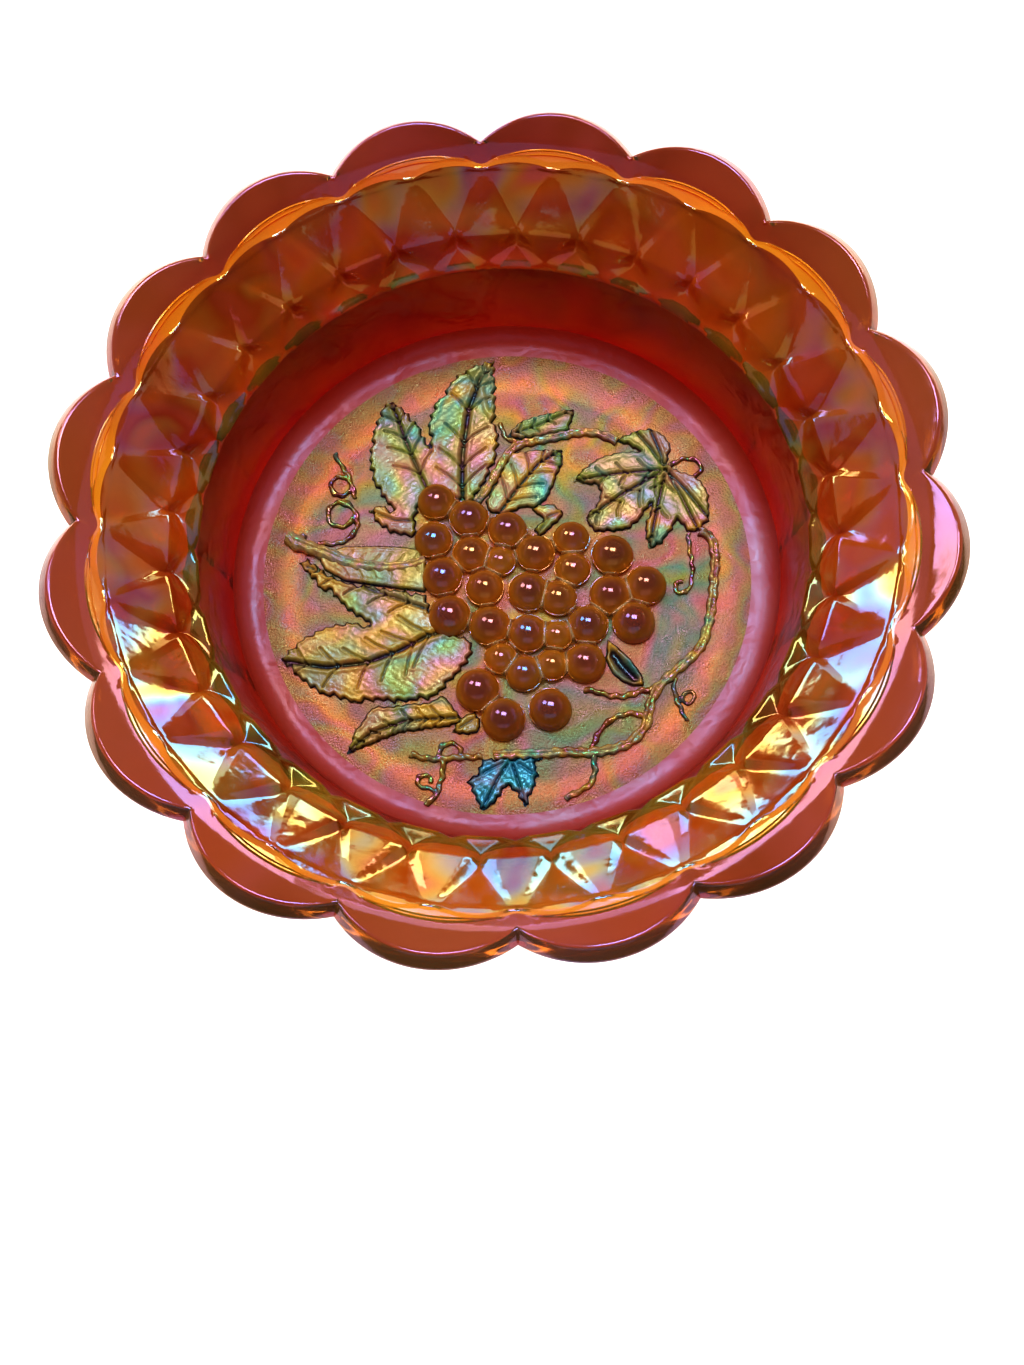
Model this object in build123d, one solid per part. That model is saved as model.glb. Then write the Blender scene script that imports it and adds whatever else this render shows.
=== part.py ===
from build123d import *
import math
import os

# A pressed-glass bowl with a scalloped flaring rim, a quilted band, a plain well and a
# grape-and-leaf relief on its floor. It is one casting in real life. Here the casting is cut
# into its named regions, which meet face to face. Millimetres, +Z up, and the origin is the
# centre of the foot ring's resting face. Radial sizes run from the rim inwards.

# --- rim and lip
SCALLOPS = 16
NOTCH_RADIUS = 108.0          # top edge of the rim in a notch between two scallops
SCALLOP_REACH = 6.5           # how much further out a scallop's crest lies
LIP_SLOPE = 31.6              # degrees above level, from the notches out
LENS_WIDTH = 4.8              # from the notches in to the ring of star points
EDGE_FLARE = 52.0             # degrees off vertical of the rim's own edge face
# --- body
BOWL_DEPTH = 53.9             # floor to the notch level
QUILT_WIDTH = 18.2            # plan width of the flared band, star points in to the knee
BAND_SLOPE = 45.0             # degrees above level
WELL_LEAN = 4.5               # how far the well wall leans out, floor level to knee
COVE_RADIUS = 5.8             # inside corner between well and floor
GLASS = 4.6                   # thickness of the band, the lip and the well wall
FLOOR_GLASS = 6.0
BASE_CORNER = 8.0             # outside corner between well and base
# --- foot
FOOT_HEIGHT = 4.0
FOOT_OUTER = 70.0
FOOT_WIDTH = 7.0
# --- outside flutes
CREASE_DEPTH = 1.0
# --- quilting, where a share is of the way down the band from the star points
DIAMOND_RISE = 2.0
DIAMOND_GAP = 0.35            # half the groove left between neighbours
DIAMOND_INSET = 1.0           # from the band's two edges to a diamond's corners
DIAMOND_BEVEL = 1.1           # width of the bevel down each side
RIDGE_SHARE = 0.68            # where a diamond is highest
WAIST_SHARE = 0.62            # where it is widest
POINT_RISE = 1.4
POINT_SHARE = 0.8             # where the small lower points start
POINT_PART = 0.56             # their width at the knee, as a part of a column's
POINT_OVERHANG = 0.3          # how far they reach past the knee
FACET_EDGE = 0.1              # height of a facet's outer edge above the band
FACET_ROOT = 1.2              # depth that the facets are drawn down into the glass
ARCH_RISE = 0.5
ARCH_BEAD = 0.9               # width of the bead that outlines each arch
ARCH_CROWN = 3.4              # radial rise of an arch above the star points
ARCH_GAP = 0.6                # degrees from a notch to the end of an arch
# --- floor relief
LEAF_THICKNESS = 1.2
GRAPE_GAP = 0.05              # half the least distance between two grapes
TWIG_THICKNESS = 2.2
VINE_THICKNESS = 1.6
GRAPE_RADIUS = 6.2
PATTERN_RADIUS = 75.5         # floor radius that the relief below is drawn for

# --- levels and radii that follow
PITCH = 360.0 / SCALLOPS
NOTCH_Z = FOOT_HEIGHT + FLOOR_GLASS + BOWL_DEPTH
FLOOR_Z = FOOT_HEIGHT + FLOOR_GLASS
CREST_RADIUS = NOTCH_RADIUS + SCALLOP_REACH
CREST_Z = NOTCH_Z + SCALLOP_REACH * math.tan(math.radians(LIP_SLOPE))
BAND_TAN = math.tan(math.radians(BAND_SLOPE))
STAR_RADIUS = NOTCH_RADIUS - LENS_WIDTH
STAR_Z = NOTCH_Z - LENS_WIDTH * BAND_TAN
KNEE_RADIUS = STAR_RADIUS - QUILT_WIDTH
KNEE_Z = STAR_Z - QUILT_WIDTH * BAND_TAN
WELL_RADIUS = KNEE_RADIUS - WELL_LEAN
WELL_ANGLE = math.degrees(math.atan2(KNEE_Z - FLOOR_Z, WELL_LEAN))
FLOOR_RADIUS = WELL_RADIUS - COVE_RADIUS * math.tan(math.radians(WELL_ANGLE / 2))
COVE_TOP = FLOOR_Z + COVE_RADIUS
BAND_LENGTH = QUILT_WIDTH / math.cos(math.radians(BAND_SLOPE))
PATTERN_SCALE = FLOOR_RADIUS / PATTERN_RADIUS
BEYOND = 20.0                 # how far the cutting shapes reach past the glass


def offset_point(radius, z, slope, distance):
    """The point at a distance below a line that rises outwards at a slope in degrees."""
    a = math.radians(slope)
    return radius + distance * math.sin(a), z - distance * math.cos(a)


def meet(p, slope_p, q, slope_q):
    """Where the line through p at slope_p crosses the line through q at slope_q."""
    tp = math.tan(math.radians(slope_p))
    tq = math.tan(math.radians(slope_q))
    r = (q[1] - p[1] + tp * p[0] - tq * q[0]) / (tp - tq)
    return r, p[1] + tp * (r - p[0])


UNDER_LIP = offset_point(NOTCH_RADIUS, NOTCH_Z, LIP_SLOPE, GLASS)
UNDER_BAND = offset_point(STAR_RADIUS, STAR_Z, BAND_SLOPE, GLASS)
BEHIND_WELL = offset_point(WELL_RADIUS, FLOOR_Z, WELL_ANGLE, GLASS)
LIP_BEND = meet(UNDER_LIP, LIP_SLOPE, UNDER_BAND, BAND_SLOPE)
OUTER_KNEE = meet(UNDER_BAND, BAND_SLOPE, BEHIND_WELL, WELL_ANGLE)
BASE_EDGE = meet(BEHIND_WELL, WELL_ANGLE, (0, FOOT_HEIGHT), 0)
LIP_REACH = CREST_RADIUS + 2 * GLASS


def revolve_outline(points):
    """A full turn of a closed outline given as (radius, z) points."""
    outline = Plane.XZ * make_face(Polyline(*points, close=True))
    return revolve(outline, Axis.Z, 360)


def around(shape, count, start=0.0):
    """Copies of a shape at an even pitch round the axis."""
    return [Rot(0, 0, start + 360.0 * i / count) * shape for i in range(count)]


def casting_section():
    """Half section of the glass above the foot, before the rim is scalloped."""
    rise = math.tan(math.radians(LIP_SLOPE))
    top = (LIP_REACH, NOTCH_Z + (LIP_REACH - NOTCH_RADIUS) * rise)
    under = (LIP_REACH, UNDER_LIP[1] + (LIP_REACH - UNDER_LIP[0]) * rise)
    points = [(0, FOOT_HEIGHT), (0, FLOOR_Z), (WELL_RADIUS, FLOOR_Z), (KNEE_RADIUS, KNEE_Z),
              (NOTCH_RADIUS, NOTCH_Z), top, under, LIP_BEND, OUTER_KNEE, BASE_EDGE]
    face = make_face(Polyline(*points, close=True))
    corners = face.vertices()
    cove = min(corners, key=lambda v: (v.X - WELL_RADIUS) ** 2 + (v.Y - FLOOR_Z) ** 2)
    face = fillet(cove, COVE_RADIUS)
    base = min(face.vertices(), key=lambda v: (v.X - BASE_EDGE[0]) ** 2 + (v.Y - BASE_EDGE[1]) ** 2)
    return fillet(base, BASE_CORNER)


def scallop_outline(z):
    """The rim's outline at a height: arcs that meet in the notches."""
    flare = math.tan(math.radians(EDGE_FLARE))
    notch = NOTCH_RADIUS + (NOTCH_Z - z) * flare
    crest = CREST_RADIUS + (CREST_Z - z) * flare
    arcs = []
    for i in range(SCALLOPS):
        a = [math.radians(PITCH * (i + step)) for step in (0, 0.5, 1)]
        ends = [(notch * math.cos(a[k]), notch * math.sin(a[k])) for k in (0, 2)]
        middle = (crest * math.cos(a[1]), crest * math.sin(a[1]))
        arcs.append(ThreePointArc(ends[0], middle, ends[1]))
    return Plane.XY.offset(z) * make_face(arcs)


def crease(p, q):
    """A square bar on its corner from p to q, which cuts a V groove into the outside."""
    length = math.hypot(q[0] - p[0], q[1] - p[1])
    side = CREASE_DEPTH * math.sqrt(2)
    bar = Box(side, side, length + 2 * CREASE_DEPTH, rotation=(0, 0, 45))
    tilt = math.degrees(math.atan2(q[0] - p[0], q[1] - p[1]))
    return Pos((p[0] + q[0]) / 2, 0, (p[1] + q[1]) / 2) * Rot(0, tilt, 0) * bar


def build_casting():
    """Everything above the foot in one piece, with its scallops and outside creases."""
    glass = revolve(Plane.XZ * casting_section(), Axis.Z, 360)
    low = NOTCH_Z - 2 * GLASS
    high = CREST_Z + GLASS
    rim_block = loft([scallop_outline(low), scallop_outline(high)], ruled=True)
    column = Pos(0, 0, (low + FOOT_HEIGHT) / 2) * Cylinder(LIP_REACH + GLASS, low - FOOT_HEIGHT)
    glass = glass & (rim_block + column)
    crease_start = meet(BEHIND_WELL, WELL_ANGLE, (0, FOOT_HEIGHT + BASE_CORNER), 0)
    for p, q in ((crease_start, OUTER_KNEE), (OUTER_KNEE, LIP_BEND)):
        glass = glass - around(crease(p, q), SCALLOPS)
    return glass


def band_frame(s, w, h):
    """A point on the flared band at azimuth 0: s down from the star ring, w across, h proud."""
    a = math.radians(BAND_SLOPE)
    return Vector(STAR_RADIUS - s * math.cos(a) - h * math.sin(a), w,
                  STAR_Z - s * math.sin(a) + h * math.cos(a))


def half_step(s):
    """Half the width that one of the star columns has, at s down the band."""
    radius = STAR_RADIUS - s * math.cos(math.radians(BAND_SLOPE))
    return radius * math.tan(math.radians(PITCH / 4))


def facet_solid(corners, faces):
    """A closed solid from named corner points and lists of corner names."""
    sides = [make_face(Polyline(*[corners[n] for n in names], close=True)) for names in faces]
    return Solid(Shell([side.face() for side in sides]))


def diamond():
    """One quilted diamond: a flat face above, a flat face below and a bevel down each side."""
    ridge_s = RIDGE_SHARE * BAND_LENGTH
    waist_s = WAIST_SHARE * BAND_LENGTH
    low_s = BAND_LENGTH - DIAMOND_INSET
    waist = half_step(waist_s) - DIAMOND_GAP
    ridge = waist - DIAMOND_BEVEL
    corners = {"rl": band_frame(ridge_s, -ridge, DIAMOND_RISE),
               "rr": band_frame(ridge_s, ridge, DIAMOND_RISE)}
    for name, s, w in (("top", DIAMOND_INSET, 0), ("low", low_s, 0),
                       ("wl", waist_s, -waist), ("wr", waist_s, waist)):
        corners[name] = band_frame(s, w, FACET_EDGE)
        corners[name + "_in"] = band_frame(s, w, -FACET_ROOT)
    faces = [("top", "rl", "rr"), ("rl", "low", "rr"), ("top", "wl", "rl"), ("top", "rr", "wr"),
             ("wl", "low", "rl"), ("low", "wr", "rr"), ("top_in", "wr_in", "low_in", "wl_in"),
             ("top", "top_in", "wl_in", "wl"), ("top", "wr", "wr_in", "top_in"),
             ("wl", "wl_in", "low_in", "low"), ("low", "low_in", "wr_in", "wr")]
    return facet_solid(corners, faces)


def lower_point():
    """The small triangle between two diamonds, cut short at the knee."""
    tip_s = POINT_SHARE * BAND_LENGTH
    end_s = BAND_LENGTH + POINT_OVERHANG
    wide = POINT_PART * half_step(end_s)
    corners = {"tip": band_frame(tip_s, 0, FACET_EDGE),
               "l": band_frame(end_s, -wide, POINT_RISE),
               "r": band_frame(end_s, wide, POINT_RISE)}
    for name, s, w in (("tip", tip_s, 0), ("l", end_s, -wide), ("r", end_s, wide)):
        corners[name + "_in"] = band_frame(s, w, -FACET_ROOT)
    faces = [("tip", "l", "r"), ("tip_in", "r_in", "l_in"), ("tip", "tip_in", "l_in", "l"),
             ("tip", "r", "r_in", "tip_in"), ("l", "l_in", "r_in", "r")]
    return facet_solid(corners, faces)


def arch_bead():
    """The raised line that arches over two diamonds, from notch to notch."""
    gap = math.radians(ARCH_GAP)
    angles = [gap, math.radians(PITCH / 2), math.radians(PITCH) - gap]
    reach = [STAR_RADIUS + ARCH_BEAD, STAR_RADIUS + ARCH_CROWN, STAR_RADIUS + ARCH_BEAD]
    points = [(r * math.cos(a), r * math.sin(a)) for r, a in zip(reach, angles)]
    strip = trace(ThreePointArc(*points), ARCH_BEAD)
    wall = Pos(0, 0, STAR_Z - GLASS) * extrude(strip, ARCH_CROWN * BAND_TAN + 3 * GLASS)
    lift = ARCH_RISE / math.cos(math.radians(BAND_SLOPE))
    inner = STAR_RADIUS - ARCH_BEAD
    inner_z = STAR_Z - ARCH_BEAD * BAND_TAN
    skin = revolve_outline([(inner, inner_z - ARCH_BEAD), (inner, inner_z + lift),
                            (NOTCH_RADIUS, NOTCH_Z + lift), (NOTCH_RADIUS, NOTCH_Z - ARCH_BEAD)])
    return wall & skin


# --- floor relief, drawn on the floor in plan with +Y away from the reader
GRAPES = [(-20.1, 23.9), (-10.3, 17.6), (1.3, 13.1), (-21.4, 11.2), (-10.0, 5.9), (-1.4, 3.1),
          (9.3, 5.0), (20.4, 9.2), (32.4, 3.1), (-19.0, -0.8), (-6.4, -5.2), (6.6, -7.2),
          (20.2, -0.8), (15.4, -9.7), (30.8, -9.7), (41.7, -7.2), (-17.2, -13.3), (-5.3, -17.2),
          (5.8, -20.2), (23.6, -18.6), (37.2, -18.6), (14.4, -21.3), (-2.6, -27.4),
          (4.1, -32.4), (12.4, -30.2), (22.1, -30.2), (-9.8, -36.6), (11.1, -43.6),
          (-2.6, -45.8)]

LEAVES = {
    "upper_leaf": [(-0.3, 72.0), (-0.3, 60.0), (-0.9, 50.0), (0.2, 44.0), (-4.2, 31.0),
                   (-11.4, 22.0), (-26.4, 19.8), (-27.0, 12.6), (-35.9, 15.3), (-41.4, 22.9),
                   (-36.4, 25.9), (-40.9, 37.6), (-38.9, 51.4), (-33.9, 60.0), (-27.3, 53.7),
                   (-21.4, 42.0), (-21.4, 53.7), (-15.3, 64.2), (-5.3, 71.1)],
    "centre_leaf": [(3.6, 39.2), (19.7, 39.2), (19.3, 34.2), (15.8, 26.4), (10.2, 20.0),
                    (3.0, 19.2), (-4.2, 19.8), (-5.3, 23.1), (-2.0, 28.7)],
    "small_top_leaf": [(2.4, 44.8), (6.9, 49.8), (15.8, 52.2), (24.4, 52.9), (21.9, 45.3),
                       (12.4, 43.7)],
    "cluster_bract": [(8.6, 19.2), (15.8, 21.1), (18.9, 18.1), (13.6, 12.6), (10.8, 11.0),
                      (12.0, 16.0)],
    "twig_leaf": [(-56.5, 7.8), (-48.7, 11.2), (-29.8, 9.8), (-24.0, 4.2), (-24.2, -4.9),
                  (-40.9, -1.3), (-48.7, 0.4), (-54.8, 4.6)],
    "lower_left_leaf": [(-62.9, 6.4), (-55.3, 3.7), (-48.7, -0.4), (-24.2, -5.8),
                        (-19.8, -18.0), (-10.9, -20.8), (-13.1, -29.1), (-19.8, -36.0),
                        (-24.2, -38.0), (-39.2, -37.6), (-54.2, -35.8), (-68.1, -24.1),
                        (-62.6, -18.6), (-53.7, -14.2), (-40.9, -15.0), (-49.8, -6.9),
                        (-58.1, 0.3)],
    "lower_leaf_tip": [(-48.7, -53.8), (-46.2, -46.9), (-39.2, -38.6), (-24.2, -39.0),
                       (-19.8, -37.0), (-14.4, -44.8), (-24.2, -47.4), (-40.9, -51.0)],
    "small_sepal": [(-17.8, -48.9), (-13.7, -43.4), (-10.9, -42.7), (-9.8, -49.1)],
    "right_leaf": [(36.3, 41.1), (42.4, 44.2), (50.2, 43.1), (53.1, 37.6), (51.3, 31.4),
                   (59.7, 27.6), (63.2, 20.9), (62.4, 12.6), (57.0, 10.5), (52.7, 14.0),
                   (49.1, 8.4), (43.6, 4.6), (42.7, 9.8), (45.8, 18.8), (38.0, 11.4),
                   (27.4, 11.4), (24.9, 15.3), (30.2, 24.8), (21.9, 28.2), (31.3, 36.1),
                   (42.0, 37.6)],
    "bottom_leaf": [(-9.2, -57.6), (-14.0, -63.3), (-9.8, -72.2), (-2.2, -64.9), (2.7, -71.8),
                    (6.9, -62.4), (8.6, -57.6), (0.8, -57.6)],
    "bud_leaf": [(29.1, -23.0), (35.8, -30.0), (38.4, -35.8), (32.4, -36.0), (28.0, -29.1)],
}

# Each strand: line width, thickness of glass above the floor, and the runs of its centre line.
STRANDS = {
    "left_twig": (3.0, TWIG_THICKNESS, [[(-65.6, 15.3), (-63.7, 12.9), (-54.2, 9.0),
                                         (-43.1, 4.4), (-35.3, 3.3), (-24.2, 5.1)]]),
    "upper_vine": (2.2, VINE_THICKNESS, [[(-7.8, 23.3), (-1.1, 33.1), (2.1, 38.7), (5.8, 42.0),
                                          (23.6, 44.8), (29.1, 44.8), (36.7, 40.9)]]),
    "right_vine": (2.2, VINE_THICKNESS, [[(58.9, 9.6), (61.6, 8.7), (63.1, 2.0), (61.1, -12.4),
                                          (57.8, -24.1), (51.3, -31.6), (42.2, -38.9),
                                          (39.3, -46.9), (33.6, -54.7), (21.3, -56.9),
                                          (7.0, -56.1)]]),
    "bud_stem": (1.5, VINE_THICKNESS, [[(41.0, -38.4), (33.6, -40.6), (24.7, -38.4)],
                                       [(22.2, -55.0), (23.6, -52.4), (27.4, -47.8),
                                        (32.4, -45.8), (38.6, -46.4)]]),
    "left_bottom_twig": (1.5, VINE_THICKNESS, [[(-30.0, -54.4), (-20.9, -56.4), (-9.2, -56.4)],
                                               [(-20.9, -56.4), (-21.7, -63.6),
                                                (-25.9, -69.7)]]),
    "left_tendrils": (1.2, VINE_THICKNESS, [[(-51.4, 42.6), (-47.0, 34.0), (-45.3, 27.0)],
                                            [(-49.8, 26.6), (-44.6, 21.4), (-47.0, 13.7),
                                             (-53.0, 11.4)]]),
    "right_tendrils": (1.2, VINE_THICKNESS, [[(55.7, 8.4), (56.1, 0.9), (54.4, -9.1),
                                              (51.9, -10.2), (50.2, -8.2)],
                                             [(47.6, -36.0), (47.8, -42.4), (50.2, -48.9)],
                                             [(23.0, -58.4), (22.2, -64.7), (13.8, -69.7)],
                                             [(53.6, 33.0), (58.9, 34.0), (61.3, 30.0)]]),
}
LOOPS = {"left_tendrils": [(-49.6, 31.4, 3.1), (-49.7, 21.9, 4.0)],
         "right_tendrils": [(51.3, -42.1, 1.8)],
         "left_bottom_twig": [(-26.3, -62.3, 1.9), (-18.4, -54.2, 2.4)]}


def scaled(points):
    return [(x * PATTERN_SCALE, y * PATTERN_SCALE) for x, y in points]


def on_floor(plan, height):
    return Pos(0, 0, FLOOR_Z) * extrude(plan, height)


def grape_cluster():
    """Half balls on the floor, each as large as its nearest neighbours let it be."""
    places = scaled(GRAPES)
    full = GRAPE_RADIUS * PATTERN_SCALE
    above = Pos(0, 0, FLOOR_Z + full) * Box(2 * FLOOR_RADIUS, 2 * FLOOR_RADIUS, 2 * full)
    domes = []
    for i, (x, y) in enumerate(places):
        nearest = min(math.dist((x, y), other) for j, other in enumerate(places) if j != i)
        radius = min(full, nearest / 2 - GRAPE_GAP)
        domes.append((Pos(x, y, FLOOR_Z) * Sphere(radius)) & above)
    return domes


def strand(name):
    """Flat-topped ribs along a strand's runs, joined to its curls."""
    width, height, runs = STRANDS[name]
    width *= PATTERN_SCALE
    plan = Sketch()
    for run in runs:
        plan += trace(Polyline(*scaled(run)), width)
    for x, y, radius in LOOPS.get(name, []):
        radius *= PATTERN_SCALE
        ring = Circle(radius + width / 2) - Circle(radius - width / 2)
        plan += Pos(x * PATTERN_SCALE, y * PATTERN_SCALE) * ring
    return on_floor(plan, height)


def leaf(name):
    return on_floor(make_face(Polyline(*scaled(LEAVES[name]), close=True)), LEAF_THICKNESS)


def build_relief():
    """Grapes lie over strands, and both over leaves, so what is below is cut away to fit."""
    relief = {"grape_cluster": Compound(children=grape_cluster())}
    taken = list(relief["grape_cluster"].solids())
    for name in [*STRANDS, *LEAVES]:
        piece = strand(name) if name in STRANDS else leaf(name)
        relief[name] = piece - taken
        taken += list(relief[name].solids())
    return relief


def build_nodes():
    """Every node by name."""
    casting = build_casting()
    top = CREST_Z + BEYOND
    wide = LIP_REACH + BEYOND
    knee_far = [(2 * KNEE_RADIUS - OUTER_KNEE[0], 2 * KNEE_Z - OUTER_KNEE[1]),
                (2 * OUTER_KNEE[0] - KNEE_RADIUS, 2 * OUTER_KNEE[1] - KNEE_Z)]
    star_far = [offset_point(STAR_RADIUS, STAR_Z, BAND_SLOPE, -GLASS),
                offset_point(STAR_RADIUS, STAR_Z, BAND_SLOPE, 2 * GLASS)]
    nodes = {
        "foot_ring": Pos(0, 0, FOOT_HEIGHT / 2) * (
            Cylinder(FOOT_OUTER, FOOT_HEIGHT) - Cylinder(FOOT_OUTER - FOOT_WIDTH, FOOT_HEIGHT)),
        "floor_disc": casting & revolve_outline([(0, 0), (FLOOR_RADIUS, 0),
                                                 (FLOOR_RADIUS, COVE_TOP), (0, COVE_TOP)]),
        "cove_ring": casting & revolve_outline([(FLOOR_RADIUS, 0), (wide, 0),
                                                (wide, COVE_TOP), (FLOOR_RADIUS, COVE_TOP)]),
        "well_wall": casting & revolve_outline([(FLOOR_RADIUS, COVE_TOP), (wide, COVE_TOP),
                                                (wide, knee_far[1][1]), knee_far[1],
                                                knee_far[0], (FLOOR_RADIUS, knee_far[0][1])]),
        "quilt_band": casting & revolve_outline([*knee_far, star_far[1], star_far[0]]),
        "scalloped_lip": casting & revolve_outline([*star_far, (wide, star_far[1][1]),
                                                    (wide, top), (star_far[0][0], top)]),
    }
    columns = 2 * SCALLOPS
    nodes["quilt_diamonds"] = Compound(children=around(diamond() - casting, columns))
    points = around(lower_point() - casting, columns, PITCH / 4)
    nodes["quilt_lower_points"] = Compound(children=points)
    nodes["arch_beads"] = Compound(children=around(arch_bead() - casting, SCALLOPS))
    nodes.update(build_relief())
    return nodes


os.makedirs("parts", exist_ok=True)
for node, shape in build_nodes().items():
    export_step(Compound(children=list(shape.solids())), f"parts/{node}.step")
print(f"overall height {CREST_Z:.1f} mm, rim crest diameter {2 * CREST_RADIUS:.1f} mm, "
      f"floor diameter {2 * FLOOR_RADIUS:.1f} mm")
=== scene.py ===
# %% [markdown]
# # A bowl of lustred amber glass
# The real bowl is one pressing: hot amber glass squeezed between a patterned plunger and a
# fluted mould, then sprayed with metal salts that leave a rainbow film. The CAD model keeps its
# regions apart as named solids. Here the outer glass is modelled again as one clean skin,
# because light that passes through glass shows every hidden wall, and each piece of the relief
# on the floor is a solid of its own that sits a little way into that skin.

# %% Load the frame
import math
import bpy
import numpy as np
from mathutils import Matrix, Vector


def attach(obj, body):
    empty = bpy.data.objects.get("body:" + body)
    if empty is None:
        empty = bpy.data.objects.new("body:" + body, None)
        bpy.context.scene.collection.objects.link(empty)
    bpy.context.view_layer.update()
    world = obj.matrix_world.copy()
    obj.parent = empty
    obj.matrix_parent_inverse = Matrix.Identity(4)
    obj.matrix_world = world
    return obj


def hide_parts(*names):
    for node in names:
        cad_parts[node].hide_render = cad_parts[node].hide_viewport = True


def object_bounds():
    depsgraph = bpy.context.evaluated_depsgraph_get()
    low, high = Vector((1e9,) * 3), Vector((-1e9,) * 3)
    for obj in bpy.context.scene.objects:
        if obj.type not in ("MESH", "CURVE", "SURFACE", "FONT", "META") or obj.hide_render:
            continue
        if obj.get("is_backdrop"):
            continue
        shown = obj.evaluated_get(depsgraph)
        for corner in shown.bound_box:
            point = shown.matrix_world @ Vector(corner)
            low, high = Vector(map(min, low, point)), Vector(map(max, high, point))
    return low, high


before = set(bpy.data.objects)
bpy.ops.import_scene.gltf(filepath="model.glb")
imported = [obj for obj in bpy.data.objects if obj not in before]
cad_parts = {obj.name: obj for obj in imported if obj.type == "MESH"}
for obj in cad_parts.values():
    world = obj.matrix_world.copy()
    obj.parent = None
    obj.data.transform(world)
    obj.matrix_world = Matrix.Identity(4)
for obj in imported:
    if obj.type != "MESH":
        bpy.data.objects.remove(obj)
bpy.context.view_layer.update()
MM = 0.001
FLOOR_R, FLOOR_Z = 75.5, 10.0
print("CAD nodes:", len(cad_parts))

# %% [markdown]
# ## Camera
# A camera in Blender looks down its own -Z axis, with +Y up. We look steeply into the bowl from
# the front, a little off its axis and with the camera rolled a few degrees, as a hand-held camera
# would be. The three directions are worked out from those angles and become the columns of the
# camera's matrix.

# %% Camera
NOTCH_R, NOTCH_Z = 108.0, 63.9
VIEW_ELEVATION, VIEW_SPIN, VIEW_ROLL = 64.757, 3.504, -6.549
LOOK_RIGHT, LOOK_UP = -0.317, -9.698
VIEW_DISTANCE = 2.6245 * NOTCH_R
LENS = 28.97


def unit(v):
    """The same direction with a length of one."""
    return v / np.linalg.norm(v)


el, roll = math.radians(VIEW_ELEVATION), math.radians(VIEW_ROLL)
back = np.array([0.0, -math.cos(el), math.sin(el)])
side = np.array([1.0, 0.0, 0.0])
rise = np.cross(side, -back)
look = unit(-back + math.tan(math.radians(LOOK_RIGHT)) * side
            + math.tan(math.radians(LOOK_UP)) * rise)
flat = unit(np.cross(look, rise))
tall = np.cross(flat, look)
right = math.cos(roll) * flat + math.sin(roll) * tall
up = math.cos(roll) * tall - math.sin(roll) * flat
axes = Matrix((right, up, -look)).transposed().to_4x4()
place = Matrix.Translation(back * VIEW_DISTANCE * MM)
bpy.ops.object.camera_add()
camera = bpy.context.object
camera.name = "camera"
camera.matrix_world = (Matrix.Translation((0, 0, NOTCH_Z * MM))
                       @ Matrix.Rotation(math.radians(VIEW_SPIN), 4, "Z") @ place @ axes)
camera.data.lens = LENS
camera.data.clip_start = 0.01
bpy.context.scene.camera = camera
print("camera at", [round(v, 3) for v in camera.matrix_world.translation])

# %% [markdown]
# ## Light and floor
# Lustre only shows when it has something bright to mirror. The facets nearest to us reflect what
# stands low behind the bowl, so two bright windows are there, with a dim one between them. A
# lilac strip on the horizon tints the near side of the lip, and two big lilac windows tint its
# sides. The world itself is almost dark, which keeps the glass deep. The floor gives off light
# of its own, so the bowl stands on plain white and the white shines up through it.

# %% Light and floor
def softbox(name, azimuth, elevation, distance, width, height, power, colour=(1, 1, 1)):
    """An area light that looks at the bowl from an azimuth and elevation in degrees."""
    a, e = math.radians(azimuth), math.radians(elevation)
    spot = np.array([math.cos(a) * math.cos(e), math.sin(a) * math.cos(e), math.sin(e)])
    bpy.ops.object.light_add(type="AREA")
    lamp = bpy.context.object
    lamp.name = name
    lamp.data.shape = "RECTANGLE"
    lamp.data.size, lamp.data.size_y = width, height
    lamp.data.energy = power
    lamp.data.color = colour
    z = unit(spot)
    x = unit(np.cross((0, 0, 1), z))
    lamp.matrix_world = (Matrix.Translation(spot * distance)
                         @ Matrix((x, np.cross(z, x), z)).transposed().to_4x4())


LILAC_LIGHT = (0.80, 0.62, 1.0)
softbox("window_back_right", 56, 11, 1.3, 0.95, 0.34, 5.2)
softbox("window_back_left", 122, 11, 1.3, 0.95, 0.34, 5.0)
softbox("window_behind", 90, 11, 1.3, 0.5, 0.34, 0.9)
softbox("wall_behind", 90, 1.5, 1.6, 3.0, 0.16, 4.5, LILAC_LIGHT)
softbox("window_left", 160, 22, 1.4, 1.3, 0.8, 1.2, LILAC_LIGHT)
softbox("window_right", 22, 22, 1.4, 1.3, 0.8, 1.4, LILAC_LIGHT)
softbox("front_fill", 268, 42, 1.4, 1.5, 0.8, 1.2)
softbox("ceiling", 80, 70, 1.5, 0.55, 0.42, 8)
softbox("key_left", 130, 50, 1.5, 0.4, 0.4, 3.5)

world = bpy.data.worlds.new("dim room")
bpy.context.scene.world = world
world.use_nodes = True
world.node_tree.nodes["Background"].inputs["Color"].default_value = (1, 1, 1, 1)
world.node_tree.nodes["Background"].inputs["Strength"].default_value = 0.06
bpy.context.scene.view_settings.view_transform = "Standard"
bpy.context.scene.view_settings.look = "High Contrast"
bpy.context.scene.view_settings.exposure = -0.02

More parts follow.
